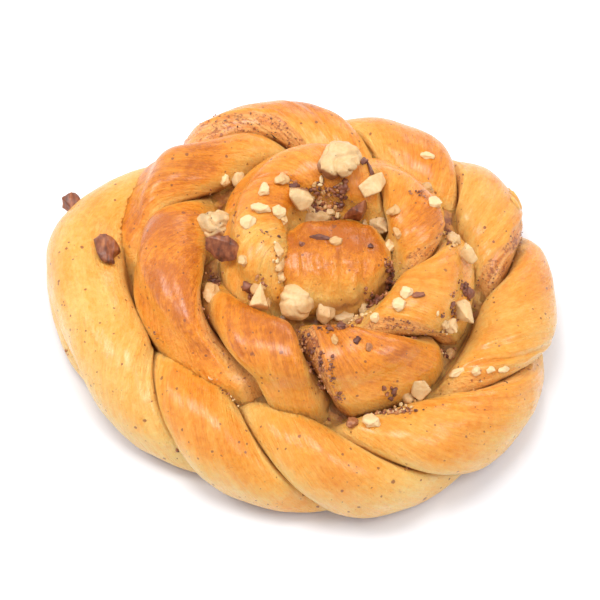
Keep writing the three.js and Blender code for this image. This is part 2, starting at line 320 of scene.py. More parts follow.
@dataclass(frozen=True)
class Rope:
    """The coiled, twisted rope of dough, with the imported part's sizes."""

    tail_turn: float = 122.0
    end_turn: float = 985.0
    coil_radius: float = 57.0
    coil_pitch: float = 20.4
    oval: float = 0.055
    oval_turn: float = 140.0
    tuck_depth: float = 22.0
    tuck_turns: float = 50.0
    uneven: tuple[Hump, ...] = (
        Hump(242, 26, -2.2), Hump(392, 14, 0.7), Hump(438, 28, -2.2), Hump(488, 22, 1.0),
        Hump(885, 40, -2.6),
    )
    half_width: float = 12.9
    half_width_loss: float = 1.3
    tail_width_loss: float = 3.4
    end_width_loss: float = 3.5
    sways: tuple[Sway, ...] = (
        Sway(493, 62, 18, 78, -78), Sway(637, 0, 15, 70, 46), Sway(690, 8, 15, 70, 40),
    )
    belly: Hump = Hump(520, 45, 1.6)
    sag: Hump = Hump(436, 34, -2.0)
    tail_height: float = 17.0
    outer_height: float = 25.0
    dome_rise: float = 13.0
    end_drop: float = 12.0
    crown: float = 1.02
    foot_push: float = 1.06
    foot_power: float = 2.6
    valley_depth: float = 0.39
    valley_sharpness: float = 3.0
    foot_fade: float = 0.75
    # The turns between which a change takes place
    tail_rise_turns: tuple[float, float] = (122.0, 215.0)
    tail_width_turns: tuple[float, float] = (122.0, 185.0)
    valley_turns: tuple[float, float] = (150.0, 235.0)
    dome_turns: tuple[float, float] = (350.0, 690.0)
    thinning_turns: tuple[float, float] = (400.0, 800.0)
    end_turns: tuple[float, float] = (925.0, 985.0)

    def radius_at(self, turn: np.ndarray) -> np.ndarray:
        """Radius of the rope's centre line."""
        spiral = self.coil_radius - self.coil_pitch * (turn - 180.0) / 360.0
        oval = spiral * (1.0 + self.oval * np.cos(2.0 * np.radians(turn - self.oval_turn)))
        tuck = self.tuck_depth * (1.0 - ramp(turn, self.tail_turn, self.tail_turn + self.tuck_turns))
        return oval + sum(hump.at(turn) for hump in self.uneven) - tuck

    def height_at(self, turn: np.ndarray) -> np.ndarray:
        """Height of the rope's top."""
        tail = self.tail_height + (self.outer_height - self.tail_height) * ramp(turn, *self.tail_rise_turns)
        dome = self.dome_rise * ramp(turn, *self.dome_turns)
        return tail + dome - self.end_drop * ramp(turn, *self.end_turns) + self.sag.at(turn)

    def half_width_at(self, turn: np.ndarray) -> np.ndarray:
        """Half of the rope's width."""
        loss = self.half_width_loss * ramp(turn, *self.thinning_turns)
        body = self.half_width - loss + self.belly.at(turn)
        tail = self.tail_width_loss * (1.0 - ramp(turn, *self.tail_width_turns))
        return body - tail - self.end_width_loss * ramp(turn, *self.end_turns)

    def twist_at(self, turn: np.ndarray) -> np.ndarray:
        """Half turns of the twist made by here, as an angle in radians, eased over a few degrees."""
        turns = [valley.turn for valley in VALLEYS]
        halves = [np.interp(turn + shift, turns, np.arange(len(turns))) for shift in EASING]
        return math.pi * sum(halves) / len(halves)

    def sway_at(self, turn: np.ndarray, around: np.ndarray) -> np.ndarray:
        """How far in radians the strands sway from the even twist."""
        return sum(sway.at(turn, around) for sway in self.sways)

    def foot_share(self, rise: np.ndarray) -> np.ndarray:
        """Share of the valleys' depth: all of it on the upper half, and less towards the foot."""
        return np.where(rise > 0, 1.0, 1.0 + self.foot_fade * rise)

    def strand_slope_at(self, turn: np.ndarray) -> np.ndarray:
        """Cosine of the angle between the strands and the rope."""
        reach = 9.0
        rate = (self.twist_at(turn + reach) - self.twist_at(turn - reach)) / math.radians(2 * reach)
        slope = self.half_width_at(turn) * rate / self.radius_at(turn)
        return 1.0 / np.sqrt(1.0 + slope**2)

    def along_at(self, turn: np.ndarray) -> np.ndarray:
        """Length of the centre line up to here, in mm."""
        steps = np.arange(self.tail_turn - 5.0, self.end_turn + 5.0)
        lengths = np.cumsum(self.radius_at(steps) * np.radians(1.0))
        return np.interp(turn, steps, lengths)

    def section(self, turn: np.ndarray, around: np.ndarray, swell: np.ndarray) -> np.ndarray:
        """Points of the section.

        Args:
            turn: place along the coil, in degrees.
            around: angle round the section, in radians.
            swell: share of the smooth section's radius at each point.

        Returns:
            Rows of x, y, z in mm, about the coil's middle.
        """
        half, top = self.half_width_at(turn), self.height_at(turn)
        middle = top - half * self.crown
        side, rise = np.cos(around), np.sin(around)
        power = 2.0 / self.foot_power
        foot_side = np.sign(side) * np.abs(side) ** power
        foot_rise = -middle * self.foot_push * np.abs(rise) ** power
        upper = rise >= 0
        out = np.where(upper, side, foot_side) * half * swell
        up = np.where(upper, half * self.crown * rise, foot_rise) * swell
        reach, angle = self.radius_at(turn) + out, np.radians(turn)
        return np.stack([reach * np.cos(angle), reach * np.sin(angle), middle + up], axis=-1)

    def point(self, turn: float, round_: float) -> np.ndarray:
        """One point of the surface, with its valleys but without the fine relief, in mm."""
        turns, rounds = np.array([turn], float), np.radians(np.array([round_], float))
        across = (self.twist_at(turns) + rounds + self.sway_at(turns, rounds)) / math.pi
        near = 2.0 * np.abs(across - np.round(across))
        depth = self.valley_depth * ramp(turns, *self.valley_turns) * self.foot_share(np.sin(rounds))
        return self.section(turns, rounds, 1.0 - depth * (1.0 - near) ** self.valley_sharpness)[0]

    def stand(self, turn: float, round_: float) -> Matrix:
        """A place on the surface in mm: axes along the rope, across it and out of it."""
        here = self.point(turn, round_)
        ahead = self.point(turn + 1.0, round_) - self.point(turn - 1.0, round_)
        over = self.point(turn, round_ + 3.0) - self.point(turn, round_ - 3.0)
        out = np.cross(ahead, over)
        out /= np.linalg.norm(out)
        angle = math.radians(turn)
        across = np.cross(out, (-math.sin(angle), math.cos(angle), 0.0))
        across /= np.linalg.norm(across)
        matrix = Matrix.Identity(4)
        for column, axis in enumerate((np.cross(across, out), across, out, here + COIL_CENTRE)):
            for row in range(3):
                matrix[row][column] = axis[row]
        return matrix


# The fields that the crust's finish reads at each point of the dough
FIELDS = ("tone", "valley", "band", "line")


@dataclass
class Sheet:
    """Points of the dough's skin in mm, with what the crust's finish needs at each of them."""

    points: np.ndarray
    strand: np.ndarray
    tone: np.ndarray
    valley: np.ndarray
    band: np.ndarray
    line: np.ndarray


def deselect() -> None:
    """Leaves object mode with nothing selected."""
    if bpy.context.mode != "OBJECT":
        bpy.ops.object.mode_set(mode="OBJECT")
    bpy.ops.object.select_all(action="DESELECT")


def activate(obj: bpy.types.Object) -> None:
    """Makes obj the one selected and active object."""
    deselect()
    obj.select_set(True)
    bpy.context.view_layer.objects.active = obj


def apply_modifiers(obj: bpy.types.Object) -> None:
    """Applies all modifiers of obj."""
    activate(obj)
    for modifier in list(obj.modifiers):
        bpy.ops.object.modifier_apply(modifier=modifier.name)


def get_points(obj: bpy.types.Object) -> np.ndarray:
    """Vertex places of obj."""
    places = np.empty(len(obj.data.vertices) * 3, np.float32)
    obj.data.vertices.foreach_get("co", places)
    return places.reshape(-1, 3).astype(float)


def set_points(obj: bpy.types.Object, places: np.ndarray) -> None:
    """Moves the vertices of obj to places."""
    obj.data.vertices.foreach_set("co", places.astype(np.float32).ravel())
    obj.data.update()


def get_normals(obj: bpy.types.Object) -> np.ndarray:
    """Vertex normals of obj."""
    normals = np.empty(len(obj.data.vertices) * 3, np.float32)
    obj.data.vertex_normals.foreach_get("vector", normals)
    return normals.reshape(-1, 3).astype(float)


def smooth_shade(obj: bpy.types.Object, angle: float = 50.0) -> None:
    """Shades obj smooth, apart from edges sharper than angle."""
    activate(obj)
    bpy.ops.object.shade_smooth_by_angle(angle=math.radians(angle))


def write_values(obj: bpy.types.Object, name: str, values: np.ndarray) -> None:
    """Writes a number for each vertex of obj into a field with that name."""
    layer = obj.data.attributes.new(name, "FLOAT", "POINT")
    layer.data.foreach_set("value", values.astype(np.float32))


def remesh_softly(obj: bpy.types.Object, voxel: float, rounds: int) -> None:
    """Gives obj an even mesh with faces of that size, and smooths it that many times."""
    remesh = obj.modifiers.new("remesh", "REMESH")
    remesh.mode = "VOXEL"
    remesh.voxel_size = voxel
    soften = obj.modifiers.new("soften", "SMOOTH")
    soften.factor = 0.5
    soften.iterations = rounds
    apply_modifiers(obj)


def rename(obj: bpy.types.Object, name: str) -> bpy.types.Object:
    """Gives obj and its mesh a name."""
    obj.name = name
    obj.data.name = name
    return obj


@dataclass
class Dough:
    """The dough: rope, core and knob in one closed mesh, with its fine relief."""

    rope: Rope = field(default_factory=Rope)
    columns: int = 152
    stretches: tuple[tuple[float, float, int], ...] = (
        (122.0, 411.0, 360), (411.0, 700.0, 290), (700.0, 985.0, 200),
    )
    knob_centre: tuple[float, float, float] = (3.0, -4.8, 24.5)
    knob_radii: tuple[float, float, float] = (15.3, 12.0, 13.0)
    knob_power: float = 3.0
    knob_grain: float = 4.5
    knob_taper: float = 0.34
    knob_pleats: tuple[tuple[float, float, float], ...] = (
        (-0.1, 0.55, 1.3), (6.3, 0.60, 1.0), (10.8, 0.45, 1.2), (-5.5, 0.35, 1.6),
    )
    core_radius: float = 46.0
    core_base: float = 1.2
    core_rim: float = 12.0
    core_rise: float = 13.0
    valley_reach: float = 9.0
    last_strand: int = 14
    crease_depth: float = 1.3
    crease_width: float = 0.5
    pinch_depth: float = 2.0
    pinch_round: float = 30.0
    pinch_reach: float = 19.0
    sheets: list[Sheet] = field(default_factory=list)

    def skin(self, turn: np.ndarray, column: np.ndarray) -> Sheet:
        """The rope's skin with all its relief.

        Args:
            turn: place along the coil, in degrees.
            column: angle round the section that stays on its strand, in radians.

        Returns:
            The skin's points and fields.
        """
        rope = self.rope
        twist = rope.twist_at(turn)
        around = np.mod(column - twist + math.pi / 2, 2 * math.pi) - math.pi / 2
        sway = rope.sway_at(turn, around)
        across = (twist + around + sway) / math.pi
        below = np.floor(across).astype(int)
        place = across - below
        after = place < 0.5
        index = np.clip(np.where(after, below, below + 1), 0, len(VALLEYS) - 1)
        side = np.where(after, 1.0, -1.0)
        lean = np.array([v.lean for v in VALLEYS])[index] * side
        near = 2.0 * np.minimum(place, 1.0 - place)
        half = rope.half_width_at(turn)
        slope = rope.strand_slope_at(turn)
        away = near * math.pi / 2 * half * slope
        over = (column + sway) * rope.half_width * STRAND_SLOPE
        along = rope.along_at(turn) / STRAND_SLOPE
        number = np.minimum(below, self.last_strand) * STRAND_SPACING
        strand = np.stack([over, along, number], axis=-1)

        rise = np.sin(around)
        foot = rope.foot_share(rise)
        deeper = np.array([v.depth for v in VALLEYS])[index]
        depth = rope.valley_depth * ramp(turn, *rope.valley_turns) * foot * deeper
        sharpness = rope.valley_sharpness * (1.0 + 0.75 * np.maximum(lean, 0.0)) * (
            1.0 - 0.22 * np.maximum(-lean, 0.0)) * (1.0 + 0.9 * np.maximum(deeper - 1.0, 0.0))
        swell = 1.0 - depth * (1.0 - near) ** sharpness
        apart = away + self.valley_reach * np.maximum(1.0 - deeper, 0.0)

        relief, band, line = self.edges(turn, index, side, away, strand, rise)
        crease = self.crease_depth * np.exp(-((away / self.crease_width) ** 2)) * ramp(turn, 165, 235)
        relief -= crease * foot * np.minimum(deeper, 1.0)
        relief -= self.pinch(turn, np.degrees(around))
        relief += self.creases(turn, below + 1, place) + self.dents(turn, np.degrees(around))
        plain = rope.section(turn, around, swell)
        relief += 0.5 * wander(plain, 17.0, 3.1) + 0.22 * wander(plain, 6.5, 9.4)
        relief += 0.24 * wander(strand, (4.5, 60.0, 1.0), 5.0) * ramp(apart, 0.0, 2.5)
        relief += 0.07 * wander(strand, (1.6, 34.0, 1.0), 8.0) * ramp(apart, 0.6, 3.0)
        relief *= ramp(rise, -0.95, -0.4)
        points = rope.section(turn, around, swell + relief / half)

        bake = np.array(BAKE)[np.clip(below + 1, 0, len(BAKE) - 1)] + self.blushes(turn, np.degrees(around))
        return Sheet(points, strand, bake, apart, band, line)

    def edges(self, turn: np.ndarray, index: np.ndarray, side: np.ndarray, away: np.ndarray,
              strand: np.ndarray, rise: np.ndarray) -> tuple[np.ndarray, np.ndarray, np.ndarray]:
        """The cut edges of filled dough along the valleys.

        Args:
            turn: place along the coil; not used.
            index: the nearest valley.
            side: -1 on the strand before it, 1 on the strand after it.
            away: distance from it, in mm.
            strand: the strand's own coordinates, in mm.
            rise: how far up the section faces.

        Returns:
            The relief in mm, how much filling shows, and how dark the valley's bottom is.
        """
        widths = np.array([[v.before, v.after] for v in VALLEYS])
        grimes = np.array([[v.grime_before, v.grime_after] for v in VALLEYS])
        pick = (side > 0).astype(int)
        wobble = wander(np.stack([strand[:, 1], index * 9.0, side], axis=-1), (7.0, 1.0, 1.0))
        width = widths[index, pick] * (1.0 + 0.35 * wobble) * ramp(rise, -0.6, -0.1)
        has = width > 0.3
        safe = np.maximum(width, 0.3)
        inside = np.where(has, 1.0 - ramp(away, safe - 0.5, safe + 0.1), 0.0)
        lip = np.where(has, np.exp(-(((away - safe - 0.25) / 0.5) ** 2)), 0.0)
        grain = wander(np.stack([strand[:, 0] * 1.3, strand[:, 1], index * 5.0], axis=-1), 0.9, 2.0)
        layers = np.abs(wander(np.stack([away, strand[:, 1] * 0.06, index * 7.0], axis=-1), 0.9, 4.0))
        relief = inside * (0.30 * grain - 0.55 * layers - 0.15) + 0.32 * lip
        lines = np.array([v.line for v in VALLEYS])[index]
        bottom = np.exp(-((away / (0.40 + 1.1 * ramp(lines, 0.75, 1.0))) ** 2))
        lines = lines * ramp(rise, -0.1, 0.35)
        return relief, inside * grimes[index, pick], bottom * lines

    def creases(self, turn: np.ndarray, number: np.ndarray, place: np.ndarray) -> np.ndarray:
        """Relief in mm of the shallow folds that run along the strands."""
        relief = np.zeros_like(turn)
        half, slope = self.rope.half_width_at(turn), self.rope.strand_slope_at(turn)
        for crease in CREASES:
            away = (place - crease.place) * math.pi * half * slope
            fade = ramp(turn, crease.start, crease.start + 9) * ramp(-turn, -crease.end, -crease.end + 9)
            dip = np.exp(-((away / crease.width) ** 2)) - 0.5 * np.exp(-((away / crease.width - 2) ** 2))
            relief -= np.where(number == crease.strand, crease.depth * fade * dip, 0.0)
        return relief

    def dents(self, turn: np.ndarray, round_: np.ndarray) -> np.ndarray:
        """Relief in mm of the dents, for places in degrees."""
        relief = np.zeros_like(turn)
        for dent in DENTS:
            far = ((turn - dent.turn) / dent.turn_reach) ** 2
            far += ((round_ - dent.round) / dent.round_reach) ** 2
            relief += dent.out * np.exp(-far)
        return relief

    def pinch(self, turn: np.ndarray, round_: np.ndarray) -> np.ndarray:
        """How far in mm the rope's sides draw in where they meet the next turn of the coil."""
        outer = np.exp(-(((round_ - self.pinch_round) / self.pinch_reach) ** 2)) * ramp(turn, 470, 510)
        inner = np.exp(-(((180.0 - round_ - self.pinch_round) / self.pinch_reach) ** 2))
        return self.pinch_depth * (outer + inner * ramp(turn, 150, 190))

    def blushes(self, turn: np.ndarray, round_: np.ndarray) -> np.ndarray:
        """How much browner the patches make the crust, for places in degrees."""
        bake = np.zeros_like(turn)
        for blush in BLUSHES:
            far = ((turn - blush.turn) / blush.turn_reach) ** 2
            far += ((round_ - blush.round) / blush.round_reach) ** 2
            bake += blush.bake * np.exp(-far)
        return bake

    def column_angles(self, share: np.ndarray) -> np.ndarray:
        """Angles of the columns, closer together near the valleys, for shares from 0 to 1."""
        angle = 2 * math.pi * share
        return angle - 0.27 * np.sin(2 * angle)

    def stretch(self, start: float, end: float, rows: int) -> bpy.types.Object:
        """One closed stretch of the rope: a grid rolled round the rope's section.

        Args:
            start, end: the turns between which it runs.
            rows: how many rows of faces lie between them.

        Returns:
            The stretch's object, in metres in the frame.
        """
        deselect()
        bpy.ops.mesh.primitive_grid_add(x_subdivisions=rows, y_subdivisions=self.columns, size=2)
        obj = bpy.context.object
        flat = get_points(obj)
        turn = start + (end - start) * (0.5 + 0.5 * flat[:, 0])
        sheet = self.skin(turn, self.column_angles(0.5 + 0.5 * flat[:, 1]))
        self.sheets.append(sheet)
        set_points(obj, (sheet.points + COIL_CENTRE) * MM)
        bpy.ops.object.mode_set(mode="EDIT")
        bpy.ops.mesh.select_all(action="SELECT")
        bpy.ops.mesh.remove_doubles(threshold=1e-6)
        bpy.ops.mesh.fill_holes(sides=0)
        bpy.ops.mesh.normals_make_consistent(inside=False)
        bpy.ops.object.mode_set(mode="OBJECT")
        return obj

    def knob(self) -> bpy.types.Object:
        """The round knob at the middle, with faint wrinkles that run to the front."""
        deselect()
        bpy.ops.mesh.primitive_uv_sphere_add(segments=144, ring_count=96, radius=1)
        obj = bpy.context.object
        unit = get_points(obj)
        full = np.sum(np.abs(unit) ** self.knob_power, axis=1) ** (-1.0 / self.knob_power)
        plain = unit * full[:, None] * np.array(self.knob_radii)
        plain[:, 0] *= 1.0 - self.knob_taper * ramp(-plain[:, 1], 1.0, 12.0)
        plain += np.array(self.knob_centre)
        soft = 1.1 * wander(plain, 8.0, 21.0) + 0.5 * wander(plain, 4.2, 5.0)
        soft += 0.16 * wander(plain, 1.9, 5.0)
        bent = plain + 1.3 * np.stack([wander(plain, 7.0, 2.0)] * 3, axis=-1)
        wrinkles = 0.50 * wander(bent, (2.4, 9.0, 12.0), 13.0) + 0.18 * wander(bent, (1.0, 5.0, 9.0), 3.0)
        pleats = sum(depth * np.exp(-(((bent[:, 0] - x) / width) ** 2))
                     for x, depth, width in self.knob_pleats)
        pleats = -pleats * ramp(-plain[:, 1], 0.0, 9.0)
        points = plain + unit * (soft + wrinkles + pleats)[:, None]
        set_points(obj, (points + COIL_CENTRE) * MM)
        count = len(points)
        strand = np.stack([bent[:, 0], self.knob_grain * bent[:, 1], np.full(count, 900.0)], axis=-1)
        rim = 6.0 * ramp(unit[:, 2], 0.1, 0.5)
        front = 1.6 * wander(plain, (3.0, 9.0, 9.0), 7.0) - plain[:, 1]
        tone = KNOB_BAKE - 0.28 * ramp(front, 1.0, 9.0) - 0.40 * ramp(front, 9.0, 17.0)
        self.sheets.append(Sheet(points, strand, tone, rim, np.zeros(count), np.zeros(count)))
        return obj

    def core(self) -> bpy.types.Object:
        """The dough under the turns, a low dome."""
        deselect()
        bpy.ops.mesh.primitive_uv_sphere_add(segments=96, ring_count=48, radius=1)
        obj = bpy.context.object
        unit = get_points(obj)
        top = unit[:, 2] > 0
        height = np.where(top, self.core_rim + self.core_rise * unit[:, 2],
                          self.core_rim + (self.core_rim - self.core_base) * unit[:, 2])
        wide = np.where(top, 1.0, 1.0 / np.maximum(np.hypot(unit[:, 0], unit[:, 1]), 0.25))
        points = np.stack([unit[:, 0] * self.core_radius * wide, unit[:, 1] * self.core_radius * wide,
                           height], axis=-1)
        set_points(obj, (points + COIL_CENTRE) * MM)
        count = len(points)
        zeros = np.zeros(count)
        # The core takes the valleys' dark line all over: filling, and painted shade in the hollows between
        # the turns.
        self.sheets.append(Sheet(points, points, np.full(count, 0.7), zeros + 9.0, zeros, zeros + 1.0))
        return obj

    def flake(self, flake: Flake) -> bpy.types.Object:
        """One torn flake: a thin, ragged disc that lies on the rope."""
        deselect()
        bpy.ops.mesh.primitive_uv_sphere_add(segments=48, ring_count=24, radius=0.5)
        obj = bpy.context.object
        unit = get_points(obj)
        ragged = 1.0 + 0.16 * wander(unit, 0.22, flake.turn) + 0.3 * wander(unit, 0.6, flake.spin)
        flat = unit * np.array(flake.size) * np.stack([ragged, ragged, np.ones(len(unit))], axis=-1)
        flat[:, 2] -= 0.2 * flake.size[2]
        spin = Matrix.Rotation(math.radians(flake.spin), 4, "Z")
        place = np.array(self.rope.stand(flake.turn, flake.round) @ spin)
        points = flat @ place[:3, :3].T + place[:3, 3]
        set_points(obj, points * MM)
        count = len(points)
        zeros = np.zeros(count)
        bake = np.full(count, BAKE[6] - 0.1)
        self.sheets.append(Sheet(points - COIL_CENTRE, points, bake, zeros + 3.0, zeros, zeros))
        return obj

    def build(self) -> bpy.types.Object:
        """Joins rope, core, knob and flakes, cuts them flat and writes the crust's fields."""
        parts = [self.stretch(*stretch) for stretch in self.stretches]
        parts += [self.core(), self.knob()]
        parts += [self.flake(flake) for flake in FLAKES]
        body, others = parts[0], parts[1:]
        join_solids(body, others, "UNION")
        deselect()
        bpy.ops.mesh.primitive_cube_add(size=0.4, location=(0.0, 0.0, -0.2))
        block = bpy.context.object
        activate(block)
        bpy.ops.object.transform_apply(location=True, rotation=True, scale=True)
        join_solids(body, [block], "DIFFERENCE")
        rename(body, "brioche_dough")
        self.write_fields(body)
        smooth_shade(body, 55.0)
        return body

    def write_fields(self, obj: bpy.types.Object) -> None:
        """Writes each field at the nearest point of the skins that made the dough."""
        points = np.concatenate([sheet.points for sheet in self.sheets])
        tree = KDTree(len(points))
        for i, point in enumerate((points + COIL_CENTRE).tolist()):
            tree.insert(point, i)
        tree.balance()
        places = get_points(obj) / MM
        nearest = np.array([tree.find(p)[1] for p in places.tolist()])
        for name in FIELDS:
            write_values(obj, name, np.concatenate([getattr(sheet, name) for sheet in self.sheets])[nearest])
        strand = np.concatenate([sheet.strand for sheet in self.sheets])[nearest]
        layer = obj.data.attributes.new("strand", "FLOAT_VECTOR", "POINT")
        layer.data.foreach_set("vector", strand.astype(np.float32).ravel())
        write_values(obj, "open", open_sky(obj))


def join_solids(body: bpy.types.Object, others: list[bpy.types.Object], operation: str) -> None:
    """Joins or cuts body by others with one Boolean, and removes them."""
    group = bpy.data.collections.new("boolean")
    for obj in others:
        group.objects.link(obj)
    modifier = body.modifiers.new("boolean", "BOOLEAN")
    modifier.operation = operation
    modifier.operand_type = "COLLECTION"
    modifier.collection = group
    modifier.solver = "MANIFOLD"
    apply_modifiers(body)
    for obj in others:
        mesh = obj.data
        bpy.data.objects.remove(obj)
        bpy.data.meshes.remove(mesh)
    bpy.data.collections.remove(group)


def open_sky(obj: bpy.types.Object) -> np.ndarray:
    """How much of the sky above each vertex sees, from 0 to 1, as the oven's heat did; the crust also takes
    painted shade from it.
    """
    depsgraph = bpy.context.evaluated_depsgraph_get()
    tree = BVHTree.FromObject(obj, depsgraph)
    heights = (0.2, 0.5, 0.75, 0.95)
    directions = []
    for ring, height in enumerate(heights):
        around = 3 + 2 * (len(heights) - ring)
        for step in range(around):
            angle = 2 * math.pi * (step + 0.5 * ring) / around
            flat = math.sqrt(1 - height * height)
            directions.append((flat * math.cos(angle), flat * math.sin(angle), height))
    normals = get_normals(obj)
    facing = np.maximum(normals @ np.array(directions).T, 0.0)
    starts = (get_points(obj) + normals * 0.15 * MM).tolist()
    seen = np.zeros_like(facing)
    far = 40.0 * MM
    rays = [Vector(d) for d in directions]
    for i, start in enumerate(starts):
        for j in np.nonzero(facing[i] > 0.05)[0].tolist():
            if tree.ray_cast(start, rays[j], far)[0] is None:
                seen[i, j] = 1.0
    full = np.maximum(np.array(directions) @ np.array((0.0, 0.0, 1.0)), 0.0).sum()
    return (facing * seen).sum(axis=1) / full


class NutForm(Enum):
    """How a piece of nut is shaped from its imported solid."""

    CHUNK = "chopped faces with soft corners"
    LUMP = "rounded, with lobes and clefts"
    KERNEL = "round, with soft lobes"
    SKIN = "brown skin with a long grain"
    KIDNEY = "flat piece with a notch in one side"


@dataclass(frozen=True)
class NutPiece:
    """One large piece of nut.

    Attributes:
        node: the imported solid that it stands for.
        form: how it is shaped.
        rind: how much of it the brown rind covers.
        rind_side: the side of it that the rind is on.
        grey: how grey it is.
        voxel: size in mm of the mesh's faces.
        grow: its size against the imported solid's.
        corners: a chunk's corners, from -1 to 1 in the solid's box, or none for random ones.
    """

    node: str
    form: NutForm
    rind: float = 0.0
    rind_side: tuple[float, float, float] = (0.0, 0.0, -1.0)
    grey: float = 0.0
    voxel: float = 0.24
    grow: tuple[float, float, float] = (1.07, 1.07, 1.07)
    corners: tuple[tuple[float, float, float], ...] = ()

    @property
    def seed(self) -> int:
        """A number of its own for its random draws."""
        return sum(map(ord, self.node))

    @property
    def skin(self) -> bool:
        """Whether it is a piece of skin."""
        return self.form in (NutForm.SKIN, NutForm.KIDNEY)

    def relief(self, points: np.ndarray) -> np.ndarray:
        """How far each point, in mm, is moved outwards."""
        seed = float(self.seed % 50)
        if self.form is NutForm.CHUNK:
            return 0.12 * wander(points, 2.6, seed) + 0.06 * wander(points, 0.8, seed)
        if self.form is NutForm.KERNEL:
            folds = np.abs(wander(points, 5.2, seed + 3.0))
            return 0.7 * wander(points, 4.5, seed) - 0.45 * np.exp(-((folds / 0.14) ** 2))
        if self.form is NutForm.LUMP:
            folds = np.abs(wander(points, 4.6, seed))
            cleft = -0.8 * np.exp(-((folds / 0.11) ** 2))
            return 0.7 * wander(points, 3.8, seed + 7.0) + cleft + 0.12 * wander(points, 1.1, seed)
        grain = wander(points, (0.55, 3.2, 3.2), seed) * 0.12
        return grain + 0.3 * wander(points, 2.4, seed + 2.0)

    def notch(self, obj: bpy.types.Object) -> None:
        """Cuts a round notch into one side."""
        low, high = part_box(self.node)
        middle = (low + high) / 2
        deselect()
        bpy.ops.mesh.primitive_cylinder_add(vertices=32, radius=2.3 * MM, depth=20 * MM,
                                            location=middle + Vector((3.9, -2.6, 0.0)) * MM)
        cutter = bpy.context.object
        activate(cutter)
        bpy.ops.object.transform_apply(location=True, rotation=True, scale=True)
        join_solids(obj, [cutter], "DIFFERENCE")

    def chunk(self) -> bpy.types.Object:
        """A chopped piece: the hull of a few corners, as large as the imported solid."""
        random = np.random.default_rng(self.seed)
        corners = np.array(self.corners)
        if not self.corners:
            corners = random.normal(size=(CHUNK_CORNERS, 3))
            corners /= np.linalg.norm(corners, axis=1)[:, None]
        deselect()
        bpy.ops.mesh.primitive_ico_sphere_add(subdivisions=3, radius=1)
        obj = bpy.context.object
        picked = corners[np.argmax(get_points(obj) @ corners.T, axis=1)]
        low, high = picked.min(axis=0), picked.max(axis=0)
        share = (picked - low) / (high - low)
        start, end = (np.array(corner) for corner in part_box(self.node))
        set_points(obj, start + share * (end - start))
        bpy.ops.object.mode_set(mode="EDIT")
        bpy.ops.mesh.select_all(action="SELECT")
        bpy.ops.mesh.remove_doubles(threshold=1e-6)
        bpy.ops.mesh.convex_hull()
        bpy.ops.mesh.select_all(action="SELECT")
        bpy.ops.mesh.normals_make_consistent(inside=False)
        bpy.ops.object.mode_set(mode="OBJECT")
        return obj

    def lump(self) -> bpy.types.Object:
        """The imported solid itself, as a mesh of its own."""
        obj = bpy.data.objects.new(self.node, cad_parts[self.node].data.copy())
        bpy.context.scene.collection.objects.link(obj)
        activate(obj)
        bpy.ops.object.mode_set(mode="EDIT")
        bpy.ops.mesh.select_all(action="SELECT")
        bpy.ops.mesh.remove_doubles(threshold=1e-6)
        bpy.ops.object.mode_set(mode="OBJECT")
        return obj

    def build(self) -> bpy.types.Object:
        """The piece's object."""
        angular = self.form in (NutForm.CHUNK, NutForm.SKIN)
        obj = rename(self.chunk() if angular else self.lump(), self.node + "_piece")
        if self.form is NutForm.KIDNEY:
            self.notch(obj)
        remesh_softly(obj, self.voxel * MM, 3 if angular else 8)
        places = get_points(obj) / MM
        middle = (places.min(axis=0) + places.max(axis=0)) / 2
        places = middle + (places - middle) * np.array(self.grow)
        places += get_normals(obj) * self.relief(places)[:, None]
        set_points(obj, places * MM)
        self.write_rind(obj, places, middle)
        smooth_shade(obj, 40.0 if angular else 60.0)
        return obj

    def write_rind(self, obj: bpy.types.Object, places: np.ndarray, middle: np.ndarray) -> None:
        """Writes where the rind lies, and how grey the piece is."""
        reach = (places.max(axis=0) - places.min(axis=0)) / 2
        side = ((places - middle) / reach) @ np.array(Vector(self.rind_side).normalized())
        limit = 1.0 - 2.0 * self.rind
        ragged = side + 0.35 * wander(places, 1.8, 4.0)
        rind = ramp(ragged, limit - 0.12, limit + 0.12) if self.rind else np.zeros(len(places))
        write_values(obj, "rind", rind)
        write_values(obj, "grey", np.full(len(places), self.grey))


# How many corners a chopped chunk has
CHUNK_CORNERS = 11
# The corners of the two clean-cut wedges, in the boxes of their solids
WEDGE_TOP = (
    (-1.0, -0.3, 0.6), (-0.2, 0.3, 1.0), (0.7, 1.0, 0.5), (1.0, 0.4, -0.2), (0.6, -0.7, 0.4),
    (-0.5, -1.0, -0.1), (-0.9, 0.2, -1.0), (0.6, 0.2, -1.0),
)
WEDGE_MID = (
    (-1.0, -0.9, 0.4), (0.2, 1.0, 1.0), (1.0, -1.0, 0.4), (0.2, -1.0, 0.9), (-0.9, -0.6, -1.0),
    (0.9, -0.5, -1.0), (0.3, 0.9, -0.6),
)
# The corners of the walnut skin at the left
SHARD = (
    (-1.0, 0.9, 0.9), (0.3, 1.0, 1.0), (1.0, 0.0, 0.2), (0.6, -1.0, -0.4), (-0.2, -0.9, -1.0),
    (-1.0, 0.2, -0.2), (0.2, 0.2, 1.0), (0.0, 0.5, -1.0),
)

